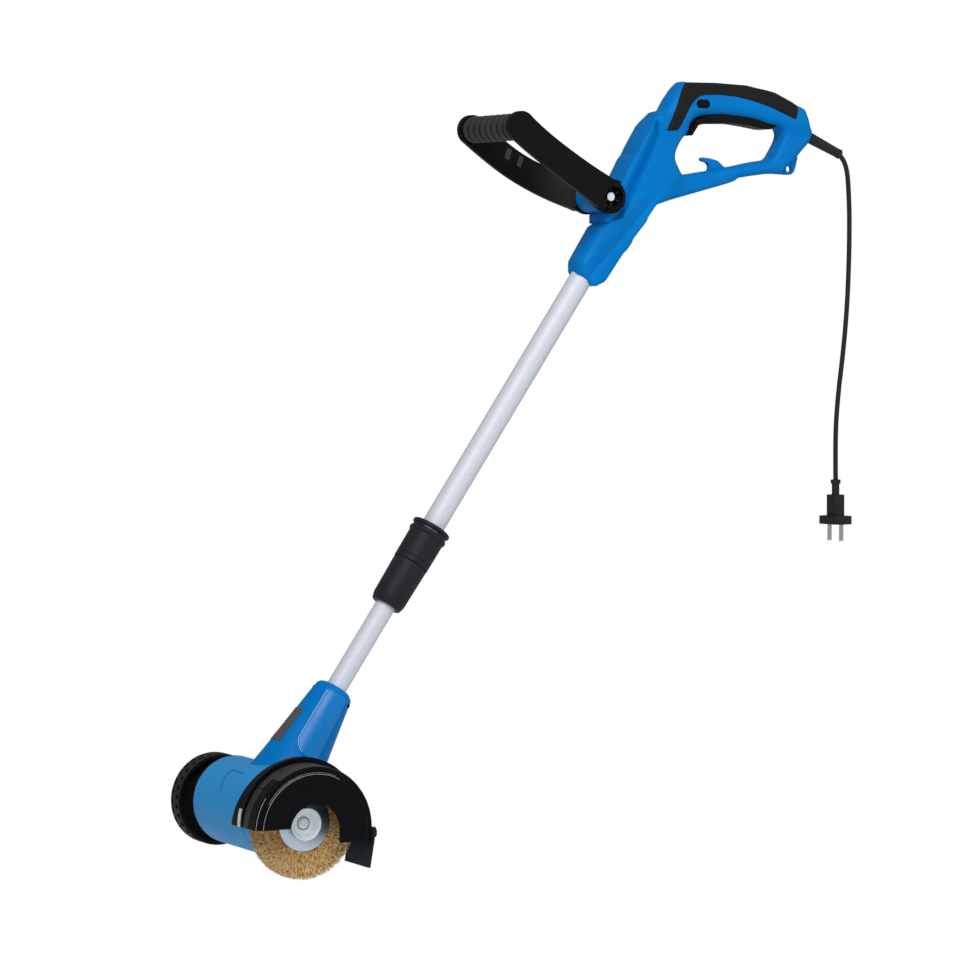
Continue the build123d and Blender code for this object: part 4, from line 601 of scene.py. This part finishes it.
def smooth(value, low, high):
    """A soft step from 0 to 1."""
    share = np.clip((value - low) / (high - low), 0.0, 1.0)
    return share * share * (3 - 2 * share)


def rounded_rim(width, rim, depth):
    """A height that falls off round a rim towards the border."""
    reach = np.minimum(depth, rim)
    return width - rim + np.sqrt(rim ** 2 - (rim - reach) ** 2)


def offset_rings(border, rims):
    """Copies of a closed outline at some distances to both sides of it."""
    ahead = np.roll(border, -1, axis=0) - np.roll(border, 1, axis=0)
    normal = np.stack((-ahead[:, 1], ahead[:, 0]), axis=1)
    normal /= np.linalg.norm(normal, axis=1)[:, None]
    return [(rim, border + way * rim * normal) for rim in rims for way in (1, -1)]


def relief(
    outline, side, height, holes=(), cuts=(), spacing=2.2, rims=(0.4, 1.2, 2.6, 4.6),
    fine=None, back=lambda x, z: 0.0, lines=(),
):
    """Half of a moulding: its side view raised to a height over the plane Y = 0, with walls at the borders.

    Holes round their rims as the outline does and cuts stay sharp. Fine marks where the grid is closer,
    back gives how far from Y = 0 the walls stop, and lines are rows of points along creases.
    """
    border_gap = 0.5
    line_gap = 0.8
    rounded = [resample(border, spacing) for border in (outline, *holes)]
    borders = rounded + [resample(border, spacing / 2) for border in cuts]

    def within(points):
        keep = inside(points, borders[0])
        for border in borders[1:]:
            keep &= ~inside(points, border)
        return keep

    def depth_of(points):
        return np.min([edge_distance(points, border) for border in rounded], axis=0)

    clouds = []
    for border in rounded:
        for rim, ring in offset_rings(border, rims):
            clouds.append(ring[within(ring) & (depth_of(ring) > 0.93 * rim)])
    low = borders[0].min(axis=0)
    high = borders[0].max(axis=0)
    grids = [(spacing, None)]
    if fine is not None:
        grids.append((spacing / 2.5, fine))
    for step, mask in grids:
        xs, zs = np.meshgrid(np.arange(low[0], high[0], step), np.arange(low[1], high[1], step))
        grid = np.stack((xs.ravel(), zs.ravel()), axis=1)
        grid = grid[within(grid)]
        if mask is None:
            keep = depth_of(grid) > rims[-1] + 0.5 * spacing
        else:
            keep = mask(grid[:, 0], grid[:, 1]) & (depth_of(grid) > border_gap)
        for line in lines:
            keep &= np.array([np.min(np.hypot(*(line - point).T)) > line_gap for point in grid])
        clouds.append(grid[keep])
    for line in lines:
        clouds.append(line[within(line) & (depth_of(line) > border_gap)])
    sites = np.concatenate(borders + clouds)
    edges = []
    start = 0
    for border in borders:
        edges += [(start + place, start + (place + 1) % len(border)) for place in range(len(border))]
        start += len(border)
    flat, _, triangles, _, _, _ = delaunay_2d_cdt([Vector(site) for site in sites], edges, [], 0, 1e-4)
    flat = np.array(flat)
    middles = np.array([flat[list(triangle)].mean(axis=0) for triangle in triangles])
    kept = [triangle for triangle, keep in zip(triangles, within(middles)) if keep]
    tops = height(flat[:, 0], flat[:, 1], depth_of(flat))
    points = [np.array((x, side * y, z)) for (x, z), y in zip(flat, tops)]
    faces = [tuple(triangle) for triangle in kept]
    foot = {}
    for one, two in open_edges(kept):
        for index in (one, two):
            if index not in foot:
                x, z = flat[index]
                foot[index] = len(points)
                points.append(np.array((x, side * min(back(x, z), tops[index]), z)))
        faces.append((two, one, foot[one], foot[two]))
    return points, faces


# Handle: two mouldings with a front panel on the pole's socket, a grip, a bar and a rear post

handle_corners = [
    by_tube(-102, -12.6), by_tube(-90, -19.9), by_tube(-50.8, -21.4),
    by_tube(-47.5, -22.9), by_tube(-35.9, -23.8), by_tube(-32.4, -22.6),
    by_tube(-16.8, -24.6), by_tube(-5.9, -26), by_tube(-2.3, -24.8), by_tube(16, -25.9),
    (-17.4, -87.6), (-9.6, -85), (-5.4, -81.6), (12, -79), (33.3, -76.4), (50, -76), (64, -64.5),
    (73.5, -56.5), (82, -47.3), (88, -42.4), (94.2, -31), (88.9, -20.8), (88.2, -17), (81.4, -3.6),
    (68, 1.2), (41.8, 12.3), (7.7, 19.4), (-32.6, 21.2), (-68, 20.8), (-75, 24), (-84, 16),
    (-94, 3), (-101, -9), (-111.5, -11), (-120.6, -24.4), by_tube(52.5, 28.1),
    by_tube(45, 27), by_tube(41, 28.2), (-150.2, -72.5), (-161.2, -92.5),
    by_tube(-24, 22.5), by_tube(-31, 22.5), by_tube(-36.5, 17.8), by_tube(-40, 17.8),
    by_tube(-44, 20.3), by_tube(-90, 18.9), by_tube(-101.5, 10.5),
]
handle_outline = soften(handle_corners, 3.5)
opening_corners = [
    (-79, -80), (-88, -65.4), (-88, -56.7), (-79, -40.5), (-70, -32), (-67.9, -24.4),
    (-61.5, -17), (-53, -14.7), (-25.2, -13.5), (5, -16.5), (28.8, -20.6), (36.5, -22.6), (50, -24),
    (54, -31), (51.5, -40), (38.6, -60.5), (18.5, -63.3), (-11.5, -69.3), (-40, -74.1),
]
hook_corners = [
    (-40, -75), (-11, -71.5), (-19.6, -69), (-27.6, -62.4), (-37.5, -60.2), (-47.6, -59.2),
    (-50.4, -61.2), (-48.2, -63.6), (-42.8, -64.6), (-38.8, -68.2),
]
eye_corners = [
    (36.6, -74), (45, -76.2), (63, -77), (69.4, -77), (73.8, -71.9), (78.1, -54.3), (60, -58),
]
skin_corners = [
    (-102.6, -32), (-86.5, -30.5), (-80, -18.7), (-71.9, -4.1), (-66.1, 2.9), (-60.2, 6.8), (-52.1, 8.6),
    (-33.6, 9), (-11.3, 7.3), (11.1, 2.8), (33.7, -3.7), (65.4, -16.4), (68.8, -1.2), (68.4, 2.4),
    (42.5, 13.8), (8, 20.9), (-32.6, 22.7), (-74.5, 22.4), (-79.5, 16), (-83.5, 9), (-89.4, -5.8),
]
eye_hole = (65.5, -70.5)
eye_hole_radius = 3.4
button_place = (-55.3, -1.5)
button_half = 3.2
button_round = 3.3
button_recess = 1.3
trigger_half_width = 12.0
tube_end = -96.0
barrel_radius = 16.5
barrel_half = 21.0
barrel_edge = 0.8

# Half widths of the handle: its bar, how much wider the grip is, its body and its channel's floor
bar_half = 14.0
grip_widening = 3.0
body_half = 19.4
valley_depth = 4.0
valley_rise_behind = 2.4
channel_half = 12.8
channel_slope = 0.55
channel_half_most = 19.6
post_slope = 0.10

# Lines on the handle's side, as (s, t) from the pole's upper end: the body's front edge, the lower edge
# of the seat beside the second handle (t, s) and the valley before the rear strip; and the rear post's
# ridge as (z, x)
front_edge = ((-22, 3.5), (-8, 5), (5, 7), (21, 8.8), (50, 11.3), (69, 13.2), (79, 15.1), (100, 30))
seat_edge = ((3.8, -22.3), (9.5, -29.3), (15.7, -37.2), (24.4, -44.8))
valley_line = ((-92, -1.5), (-67, -5.6), (-39, -10.9), (-11, -14.9), (23, -19.8), (40, -24))
post_ridge = ((-66, 50.5), (-54.6, 55.7), (-45.6, 62.5), (-33, 62.5), (-20, 68.4), (-10, 76))


def along_line(place, line):
    """The second value of a line at a place along its first."""
    return np.interp(place, [point[0] for point in line], [point[1] for point in line])


def button_distance(x, z):
    """How far places lie from the lock button's middle line."""
    beside = np.maximum(np.abs(x - button_place[0]) - button_half, 0.0)
    return np.hypot(beside, z - button_place[1])


def handle_height(x, z, depth):
    """Half the handle's width: socket and body, the channel before them, grip, bar and post."""
    s, t = pole_side(x, z)
    above_bar = smooth(z, -36, -20)
    grip = above_bar * smooth(s, 84, 104)
    round_grip = grip * (1 - smooth(x, 16, 34))
    body = (1 - smooth(s, 50, 88)) * smooth(t, -46, -22)
    from_valley = t - along_line(s, valley_line)
    before = valley_depth * np.clip(1 - from_valley / 13, 0, 1)
    behind = valley_depth - valley_rise_behind * np.clip(-from_valley / 7, 0, 1)
    socket = 1 - smooth(s, 8, 32)
    strip = smooth(-from_valley, 1, 4) * socket
    main = body_half - np.where(from_valley > 0, before, behind) * socket
    width = bar_half + grip_widening * np.maximum(above_bar, smooth(s, 60, 90) * smooth(t, -10, 8))
    width = width + body * (main - width)
    from_edge = t - along_line(s, front_edge)
    above_seat = smooth(s - along_line(t, seat_edge), -0.7, 0.9)
    channel = smooth(from_edge, -0.4, 0.8) * above_seat * (1 - smooth(s, 92, 100))
    floor = np.minimum(channel_half + channel_slope * np.maximum(from_edge, 0.0), channel_half_most)
    width = width + channel * (floor - width)
    socket_front = (1 - above_seat) * smooth(t, -2, 8) * (1 - smooth(s, -24, -14))
    past_ridge = np.maximum(x - along_line(z, post_ridge), 0.0) * smooth(x, 44, 52)
    width = width - post_slope * past_ridge
    rim = 6.5 + 2.5 * grip + 3.5 * round_grip - 4.0 * channel + 5.5 * socket_front - 3.0 * strip
    return rounded_rim(width, rim, depth)


def near_height(x, z, depth):
    """The near side has a shallow recess round the lock button."""
    share = 1 - smooth(button_distance(x, z), button_round + 1.2, button_round + 2.2)
    return handle_height(x, z, depth) - button_recess * share


def near_fine(x, z):
    """The near side has a closer grid round the lock button."""
    return button_distance(x, z) < 9


def crease_lines():
    """Rows of points along the edges on the handle's side."""
    along_body = np.arange(-22.0, 98.0, 1.1)
    along_seat = np.arange(3.0, 25.0, 1.1)
    along_valley = np.arange(-98.0, 30.0, 1.4)
    lines = []
    for offset in (-0.5, 0.9):
        lines.append([by_tube(s, along_line(s, front_edge) + offset) for s in along_body])
    for offset in (-0.8, 1.0):
        lines.append([by_tube(along_line(t, seat_edge) + offset, t) for t in along_seat])
    lines.append([by_tube(s, along_line(s, valley_line)) for s in along_valley])
    return [np.array(line) for line in lines]


def handle_wall(x, z):
    """The walls stop at the trigger's slot and in the tube's wall, and meet the other half elsewhere."""
    if -72 < x < 33 and -40 < z < -12:
        return trigger_half_width
    s, t = pole_side(x, z)
    if s < tube_end and abs(t) < tube_middle_radius:
        return sqrt(tube_middle_radius ** 2 - t ** 2)
    return 0.0


def tab_height(half_width, rim):
    """A thin tab with round rims."""
    return lambda x, z, depth: rounded_rim(half_width, rim, depth)


def handle_shell(side):
    """One half of the handle with its hook, hanging eye and half of the pivot barrel."""
    near = side < 0
    half_barrel = [
        (0, 0), (0, barrel_radius), (side * (barrel_half - barrel_edge), barrel_radius),
        (side * barrel_half, barrel_radius - barrel_edge), (side * barrel_half, 0),
    ]
    return [
        relief(
            handle_outline, side, near_height if near else handle_height,
            holes=[soften(opening_corners, 6.0)],
            cuts=[slot_outline(button_place, button_half, button_round)] if near else [],
            fine=near_fine if near else None, back=handle_wall, lines=crease_lines(),
        ),
        relief(soften(hook_corners, 2.0), side, tab_height(3.4, 1.5), spacing=1.2, rims=(0.4, 1.0)),
        relief(
            soften(eye_corners, 5.0), side, tab_height(3.2, 1.4), spacing=1.4, rims=(0.4, 1.1),
            holes=[circle(eye_hole, eye_hole_radius)],
        ),
        round_y(half_barrel, pivot, 64),
    ]


def skin_height(x, z, depth):
    """The soft skin lies over the grip and rounds with it at the handle's rim."""
    skin_sunk = 0.3
    skin_rise = 1.1
    skin_rim = 0.8
    flat = np.stack((x, z), axis=1)
    reach = edge_distance(flat, handle_outline) * np.where(inside(flat, handle_outline), 1.0, 0.0)
    return handle_height(x, z, reach) + skin_sunk + skin_rise * np.minimum(depth, skin_rim) / skin_rim


def skin_half(side):
    """One side of the soft skin."""
    return relief(soften(skin_corners, 2.5), side, skin_height, rims=(0.3, 0.9, 2.4), spacing=1.8)


def lock_surround():
    """The black oval round the lock button, sunk a little in the shell."""
    surround_half = 16.9
    surround_fall = 0.8
    surround_foot = 12.4
    outer = slot_outline(button_place, button_half + 1.4, button_round + 0.9)
    inner = slot_outline(button_place, button_half, button_round - 0.2)

    def height(x, z, depth):
        return surround_half - surround_fall * smooth(button_distance(x, z), 5.0, 3.4)
    return relief(
        outer, -1, height, cuts=[inner], spacing=0.8, rims=(0.3,), back=lambda x, z: surround_foot,
    )


make_piece("handle_near", handle_shell(-1), "blue_shell", "handle", ["handle_shell_near"])
make_piece("handle_far", handle_shell(1), "blue_shell", "handle", ["handle_shell_far"])
make_piece(
    "grip_skin_soft", [skin_half(-1), skin_half(1)], "soft_black", "handle", ["grip_skin"],
)
make_piece("lock_surround", [lock_surround()], "black_plastic", "handle")


# Second handle: scalloped rings on its grip, patches on its far arm and ribs in its near eye

bail_reach = np.array((-126.5, 0.0, 72.0))
bail_along = bail_reach / np.linalg.norm(bail_reach)
bail_up = np.array((bail_along[2], 0.0, -bail_along[0]))
ring_steps = 9
ring_bore = 8.1
groove_radius = 11.4
ring_rise = 3.1
patch_lean = 0.165
patch_rows = np.linspace(-6.3, 5.6, 4)
patch_spans = ((92.4, 98.6), (76.6, 82.3))
eye_face_y = 27.5
eye_rib_turns = np.radians(np.arange(30, 360, 60))
arm_inside_curve = np.polyfit((45.0, 72.0, 100.0), (43.5, 49.4, 52.0), 2)


def on_bail(u, w, y):
    """A point along the second handle and above its middle line."""
    return pivot + u * bail_along + w * bail_up + y * across


def scalloped_grip():
    """Round rings with sharp grooves between them."""
    profile = [(-bail_inside, ring_bore)]
    for ring in range(grip_rings):
        for step in range(ring_steps):
            share = step / ring_steps
            swell = sin(pi * share) ** 0.45 if step else 0.0
            profile.append((-bail_inside + (ring + share) * ring_pitch, groove_radius + ring_rise * swell))
    profile += [(bail_inside, groove_radius), (bail_inside, ring_bore)]
    return round_y(profile, pivot + bail_reach, 48)


def on_far_arm(u, w, proud):
    """A point on the far arm's inner face, leaning as it goes up."""
    place = u + patch_lean * w
    return on_bail(place, w, np.polyval(arm_inside_curve, place) - proud)


def on_eye_rib(turn):
    """Places on one rib of the near eye: out along it, aside from its middle and proud of it."""
    outward = spoke(turn)
    sideways = spoke(turn, upward, -right)

    def place(reach, aside, proud):
        return pivot + reach * outward + aside * sideways - (eye_face_y + proud) * across
    return place


make_piece(
    "bail_rings", [scalloped_grip()], "ribbed_black_groove_shade", "bail", ["bail_grip"], crease=50.0,
)
make_piece("bail_patches", [
    thin_sheet(np.linspace(start, end, 4), patch_rows, on_far_arm, 0.25, 0.6) for start, end in patch_spans
], "arm_patch", "bail")
make_piece("eye_ribs", [
    thin_sheet((6.6, 10.5), (-0.35, 0.35), on_eye_rib(turn), 0.12, 0.3) for turn in eye_rib_turns
], "eye_rib", "bail")


# Brush: crimped wires over a dark core, whose dark colour is painted shade between the strands, and a ring
# round the bolt in the dish

brush_middle = spindle + np.array((0.0, -101.5, 0.0))
brush_tip_radius = 57.85
brush_root_radius = 26.5
plate_radius = 28.5
brush_radius = 57.9
plate_half_gap = 3.6
rim_half_growth = 3.3
strand_count = 6800
strand_seed = 7
strand_knots = 9
strand_sides = 3


def brush_half_width(radius):
    """Half the brush's width, which grows from the plates to the rim."""
    return plate_half_gap + (radius - plate_radius) / (brush_radius - plate_radius) * rim_half_growth


def brush_strands():
    """Wavy three sided strands, most of them in the two faces and the rest between them."""
    dice = random.Random(strand_seed)
    points = []
    faces = []
    for strand in range(strand_count):
        turn = dice.uniform(0, 2 * pi)
        if dice.random() < 0.6:
            way = dice.choice((-1, 1))
            place = way * dice.uniform(0.8, 1.0)
        else:
            place = dice.uniform(-0.9, 0.9)
        tip = brush_tip_radius - 3.5 * dice.random() ** 1.2
        root = brush_root_radius + (dice.uniform(0, 14) if dice.random() < 0.6 else 0)
        lean = dice.uniform(-0.10, 0.10)
        wave = dice.uniform(0.5, 1.5)
        phase = dice.uniform(0, 2 * pi)
        thickness = dice.uniform(0.15, 0.26)
        start = len(points)
        for knot in range(strand_knots):
            radius = root + (tip - root) * knot / (strand_knots - 1)
            swing = turn + lean * (radius - root) / tip + wave / radius * sin(phase + 1.7 * knot)
            ripple = 0.35 * wave * cos(phase + 2.1 * knot)
            y = place * brush_half_width(radius) + ripple
            middle = brush_middle + radius * spoke(swing) + y * across
            sideways = spoke(swing, upward, -right)
            for corner in range(strand_sides):
                angle = phase + 2 * pi * corner / strand_sides
                points.append(middle + thickness * spoke(angle, sideways, across))
        faces += grid_faces(strand_knots, strand_sides, start=start)
        faces.append(tuple(range(len(points) - strand_sides, len(points))))
    return points, faces


core_profile = [(-3.0, 25), (-3.4, 30), (-5.0, 53.5), (5.0, 53.5), (3.4, 30), (3.0, 25)]
dish_ring_profile = [(-104.2, 6.0), (-104.55, 6.2), (-104.55, 6.9), (-104.2, 7.1)]
brush_core = round_y(core_profile, brush_middle)
make_piece("brush_core", [brush_core], "wire_core_shade", "brush", ["brush_wires"])
make_piece(
    "brush_strands", [brush_strands()], "wire_gold", "brush", ["brush_wires"], crease=75.0,
)
make_piece("dish_ring", [round_y(dish_ring_profile, spindle, 48)], "seam_dark", "brush")


# Guard: bands, painted highlights along its edges and a stepped front ring over the black fender

guard_middle = spindle + np.array((-0.5, 0.0, -4.5))
guard_left_level = 4.2
guard_right_level = -13.5


def between(start, end):
    """A span of fixed angles, in degrees from the first direction towards the second."""
    return lambda radius: (radians(start), radians(end))


def to_left_end(start):
    """A span from an angle to the guard's level left end."""
    return lambda radius: (radians(start), pi - asin(guard_left_level / radius))


def whole_guard(radius):
    """A span from the guard's right end to its left end."""
    return (asin(guard_right_level / radius), pi - asin(guard_left_level / radius))


def guard_ring(profile, span, steps=96):
    """A profile of (Y, radius) turned round the guard's middle."""
    return round_y(profile, guard_middle, steps, span)


def bead(along, radius, size):
    """The section of a thin round line."""
    return [(along + size, radius), (along, radius + size), (along - size, radius), (along, radius - size)]


front_ring = [
    (-127.0, 66.05), (-129.4, 66.0), (-130.7, 65.3), (-131.3, 64.0), (-132.2, 58.3), (-132.9, 57.5),
    (-133.8, 57.1), (-133.98, 56.2), (-133.0, 55.6), (-128.5, 63.0), (-127.0, 65.0),
]
side_band = [(-101.6, 65.9), (-101.9, 66.35), (-113.6, 66.35), (-114.0, 65.9)]
top_band = [
    (-115.5, 65.6), (-115.8, 66.3), (-129.2, 66.15), (-130.6, 65.5), (-130.2, 64.6), (-116.0, 65.2),
]
make_piece("guard_front_ring", [guard_ring(front_ring, whole_guard)], "black_guard", "head")
make_piece("guard_band", [
    guard_ring(side_band, between(47, 70), 24),
    guard_ring(side_band, between(70.8, 113), 40),
    guard_ring(side_band, between(113.8, 138), 24),
    guard_ring(side_band, to_left_end(138.8), 40),
    guard_ring(top_band, between(50, 71), 24),
    guard_ring(top_band, between(71.7, 96), 24),
    guard_ring(top_band, between(96.7, 126), 32),
], "guard_grey", "head")
# Pale beads along the guard's edges are painted highlights.
make_piece("guard_lines", [
    guard_ring(bead(-130.9, 65.25, 0.3), to_left_end(146), 32),
    guard_ring(bead(-133.3, 58.1, 0.28), to_left_end(62), 64),
    guard_ring(bead(-132.35, 59.6, 0.16), between(66, 150), 48),
], "guard_edge_highlight", "head")


# Motor housing: an L shaped seam and the ring where the gearbox cover meets it

housing_middle = spindle + np.array((0.0, 0.0, 4.3))
seam_radius = 46.55
seam_thickness = 0.42
seam_steps = 8
seam_corners = ((4.5, 157), (12.8, 136), (13.2, 130), (11.5, 124), (-17.2, 124))
cover_ring = [(-53.4, 46.2), (-53.4, 46.75), (-54.0, 46.75), (-54.0, 46.2)]


def on_housing(y, degrees):
    """A point on the housing's skin."""
    return housing_middle + y * across + seam_radius * spoke(radians(degrees))


def on_housing_route(corners):
    """Points along the housing's skin between corners of (Y, angle)."""
    knots = range(len(corners))
    places = np.linspace(0, knots[-1], knots[-1] * seam_steps + 1)
    ys, turns = [np.interp(places, knots, values) for values in zip(*corners)]
    return [on_housing(y, turn) for y, turn in zip(ys, turns)]


make_piece("housing_seams", [
    tube_along(on_housing_route(seam_corners), seam_thickness),
    round_y(cover_ring, housing_middle),
], "seam_dark", "head")


# Neck: the far half and the label on its cone, and the raised side panel with a painted highlight along its
# front edge

neck_top_s = 152.0
neck_top_radius = 20.0
neck_flare = tan(radians(9.5))
neck_steps = 36
slim_most = 3.4
slim_start = 136
slim_length = 86
panel_foot = 0.6
panel_rise = 1.75
panel_front = [
    (146, 15.4), (140, 16.5), (119, 18.3), (103, 19.3), (81, 20.8), (75.5, 17.8), (72, 14.6), (69, 8.6),
]
panel_corners = panel_front + [(67, 0), (67, -9), (146, -9)]
edge_thickness = 0.42


def neck_radius(s):
    """The radius of the neck's cone."""
    return neck_top_radius + (neck_top_s - s) * neck_flare


def on_neck(s, t, proud):
    """A point on the near side of the neck's cone, or a little proud of it."""
    return on_pole(s, t, -sqrt((neck_radius(s) + proud) ** 2 - t ** 2))


def on_slim_neck(s, angle, radius):
    """A point round the neck, whose far half is slimmer at its front towards the housing."""
    slim = slim_most * np.clip((slim_start - s) / slim_length, 0.0, 1.0)
    reach = radius - slim * smooth(angle, 0.0, 0.3) * (1 - smooth(angle, 0.9, 1.7))
    return on_pole(s, reach * cos(angle), reach * sin(angle))


def slim_neck_half():
    """The far half of the neck."""
    rows = [(s, neck_radius(s)) for s in np.linspace(30, 147.5, 22)]
    rows += [(150.4, 18.9), (151.9, 16.2), (152.0, 11.2)]
    turns = np.linspace(0, pi, neck_steps + 1)
    points = [on_slim_neck(s, turn, radius) for s, radius in rows for turn in turns]
    return points, grid_faces(len(rows), len(turns)) + end_faces(len(rows), len(turns))


def label_sheet():
    """The bare label plate on the neck's front."""
    def place(s, angle, proud):
        return on_slim_neck(s, angle, neck_radius(s) + proud)
    turns = np.radians(np.linspace(-24, 22, 15))
    return thin_sheet(np.linspace(69.8, 112.8, 14), turns, place, 0.6, 0.5)


def neck_panel():
    """The panel's outline laid on the cone, with a soft rim."""
    def rise(s, t, depth):
        return panel_foot + (panel_rise - panel_foot) * smooth(depth, 0.0, 1.2)
    points, faces = relief(
        soften(panel_corners, 3.0), 1, rise, spacing=2.5, rims=(0.3, 0.8, 1.4), back=lambda s, t: -0.5,
    )
    return [on_neck(s, t, proud) for s, proud, t in points], faces


def panel_edge_highlight():
    """A thin pale line along the panel's front edge, between its first and last round corners: a painted
    highlight.
    """
    front = soften(panel_front, 3.0)[6:-6]
    return tube_along([on_neck(s, t - 0.5, panel_rise - 0.15) for s, t in front], edge_thickness)


screw_pocket = tube_along([on_pole(142, -15.6, 12), on_pole(142, -15.6, 15.4)], 2.9, 24)
make_piece("label_sheet", [label_sheet()], "label_grey", "head", ["label_plate"])
make_piece("neck_far_half", [slim_neck_half()], "blue_shell", "head", ["neck_shell_far"])
make_piece("neck_far_pocket", [screw_pocket], "black_plastic", "head")
make_piece("neck_panel", [neck_panel()], "blue_panel", "head")
make_piece("neck_panel_edge", [panel_edge_highlight()], "blue_edge_highlight", "head")


# Pole clamp: a grooved and ringed collar with a painted highlight on a slot's edge, and the twist nut below
# it

clamp_split = 308.4
upper_bore = 12.6
lower_bore = 11.3


def on_clamp(profile, span=None, steps=72):
    """A profile of (s, radius) turned round the pole."""
    return turned(profile, pole_foot, pole_along, pole_front, across, steps, span)


collar_profile = [
    (clamp_split, upper_bore), (clamp_split, 19.3), (clamp_split + 0.5, 19.7), (clamp_split + 5.3, 19.7),
    (clamp_split + 5.5, 19.1), (clamp_split + 6.3, 19.1), (clamp_split + 6.5, 19.7), (341.6, 19.9),
    (342.2, 21.0), (342.8, 21.3), (345.4, 21.3), (346.0, 20.9), (346.4, 19.6), (350.2, 19.6), (350.5, 21.2),
    (351.1, 21.6), (353.3, 21.6), (354.1, 20.8), (354.1, upper_bore),
]
nut_profile = [
    (255.9, lower_bore), (256.0, 15.9), (256.6, 16.6), (262.0, 18.2), (263.2, 18.4),
    (clamp_split - 1.2, 19.3), (clamp_split - 0.5, 18.9), (clamp_split - 0.4, lower_bore),
]
# A pale line in the collar's groove is a painted highlight on the slot's edge.
slot_highlight = [(347.2, 19.5), (347.2, 19.95), (348.3, 19.95), (348.3, 19.5)]
make_piece("clamp_collar_rings", [on_clamp(collar_profile)], "clamp_black", "handle", ["clamp_collar"])
make_piece("clamp_nut_cone", [on_clamp(nut_profile)], "clamp_black", "clamp_nut", ["clamp_nut"])
make_piece("clamp_slot_edge", [on_clamp(slot_highlight, between(-88, -42), 24)], "clamp_highlight", "handle")


# Strain relief: a thick sleeve with a lip at its end

relief_profile = [
    (-relief_length, 0), (-relief_length, 6.1), (-40.0, 6.1), (-3.6, 5.1), (-3.0, 5.5), (-0.6, 5.5),
    (0.0, 4.9), (0.0, 0),
]
relief_sleeve = turned(relief_profile, relief_end, relief_along, relief_up, across, 40)
make_piece("relief_sleeve", [relief_sleeve], "cord_black", "handle", ["strain_relief"])


# Cord

def cord_piece():
    """The lead as one smooth spline along its route."""
    data = bpy.data.curves.new("mains_cord", "CURVE")
    data.dimensions = "3D"
    data.resolution_u = 16
    data.bevel_depth = cord_diameter / 2 * MM
    data.bevel_resolution = 6
    data.use_fill_caps = True
    spline = data.splines.new("NURBS")
    spline.points.add(len(cord_route) - 1)
    for point, place in zip(spline.points, cord_route):
        point.co = (place[0] * MM, place[1] * MM, place[2] * MM, 1.0)
    spline.order_u = 3
    spline.use_endpoint_u = True
    piece = add_object("mains_cord", data)
    data.materials.append(materials["cord_black"])
    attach(piece, "handle")
    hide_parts("cord")
    return piece


mains_cord = cord_piece()


# Floor, light and camera

def stage_floor():
    """A pale floor, white to the camera, below the head with the pole drawn right out."""
    reach = floor_reach * MM
    level = cad_box[0][2] - pole_draw * MM * pole_along[2]
    ways = ((-1, -1), (1, -1), (1, 1), (-1, 1))
    corners = [(way * reach, other * reach, level) for way, other in ways]
    mesh = bpy.data.meshes.new("floor")
    mesh.from_pydata(corners, [], [(0, 1, 2, 3)])
    floor = add_object("floor", mesh)
    tree, shader = new_material("floor_paper")
    feed(shader, {"Base Color": (0.93, 0.93, 0.93, 1.0), "Roughness": 0.9, "Specular IOR Level": 0.1})
    glow = add_node(tree, "Emission", "Emission", {"Strength": 1.0})
    seen = add_node(tree, "LightPath", "Is Camera Ray")
    mix = add_node(tree, "MixShader", "Shader", {"Fac": seen, 1: shader.outputs["BSDF"], 2: glow})
    feed(tree.nodes["Material Output"], {"Surface": mix})
    mesh.materials.append(materials["floor_paper"])


def studio_world():
    """White for the camera and glass, and a soft even light for the rest."""
    white = (1.0, 1.0, 1.0, 1.0)
    world = bpy.data.worlds.new("studio")
    bpy.context.scene.world = world
    world.use_nodes = True
    tree = world.node_tree
    soft = tree.nodes["Background"]
    feed(soft, {"Color": white, "Strength": 0.28})
    plain = add_node(tree, "Background", "Background", {"Color": white, "Strength": 1.0})
    rays = [add_node(tree, "LightPath", kind) for kind in ("Is Camera Ray", "Is Transmission Ray")]
    seen = calculate(tree, "MAXIMUM", *rays)
    mix = add_node(tree, "MixShader", "Shader", {"Fac": seen, 1: soft.outputs["Background"], 2: plain})
    feed(tree.nodes["World Output"], {"Surface": mix})


def aim(thing, place, target):
    """Puts an object at a place, looking at a target."""
    thing.location = Vector(place) * MM
    thing.rotation_euler = (Vector(target) - Vector(place)).to_track_quat("-Z", "Y").to_euler()


def soft_lamp(name, place, size, power):
    """A square soft box that looks at the object."""
    data = bpy.data.lights.new(name, "AREA")
    data.size = size * MM
    data.energy = power
    aim(add_object(name, data), place, lamp_target)


def add_camera():
    """The photograph's camera."""
    data = bpy.data.cameras.new("camera")
    data.lens = camera_lens
    data.sensor_width = camera_sensor
    data.clip_end = view_depth * MM
    camera = add_object("camera", data)
    aim(camera, camera_place, camera_target)
    bpy.context.scene.camera = camera


stage_floor()
studio_world()
soft_lamp("key", (-1350.0, -2050.0, 1600.0), 1800.0, 71.0)
soft_lamp("fill", (1600.0, -1600.0, 400.0), 1600.0, 8.0)
add_camera()
bpy.context.scene.view_settings.view_transform = "Standard"
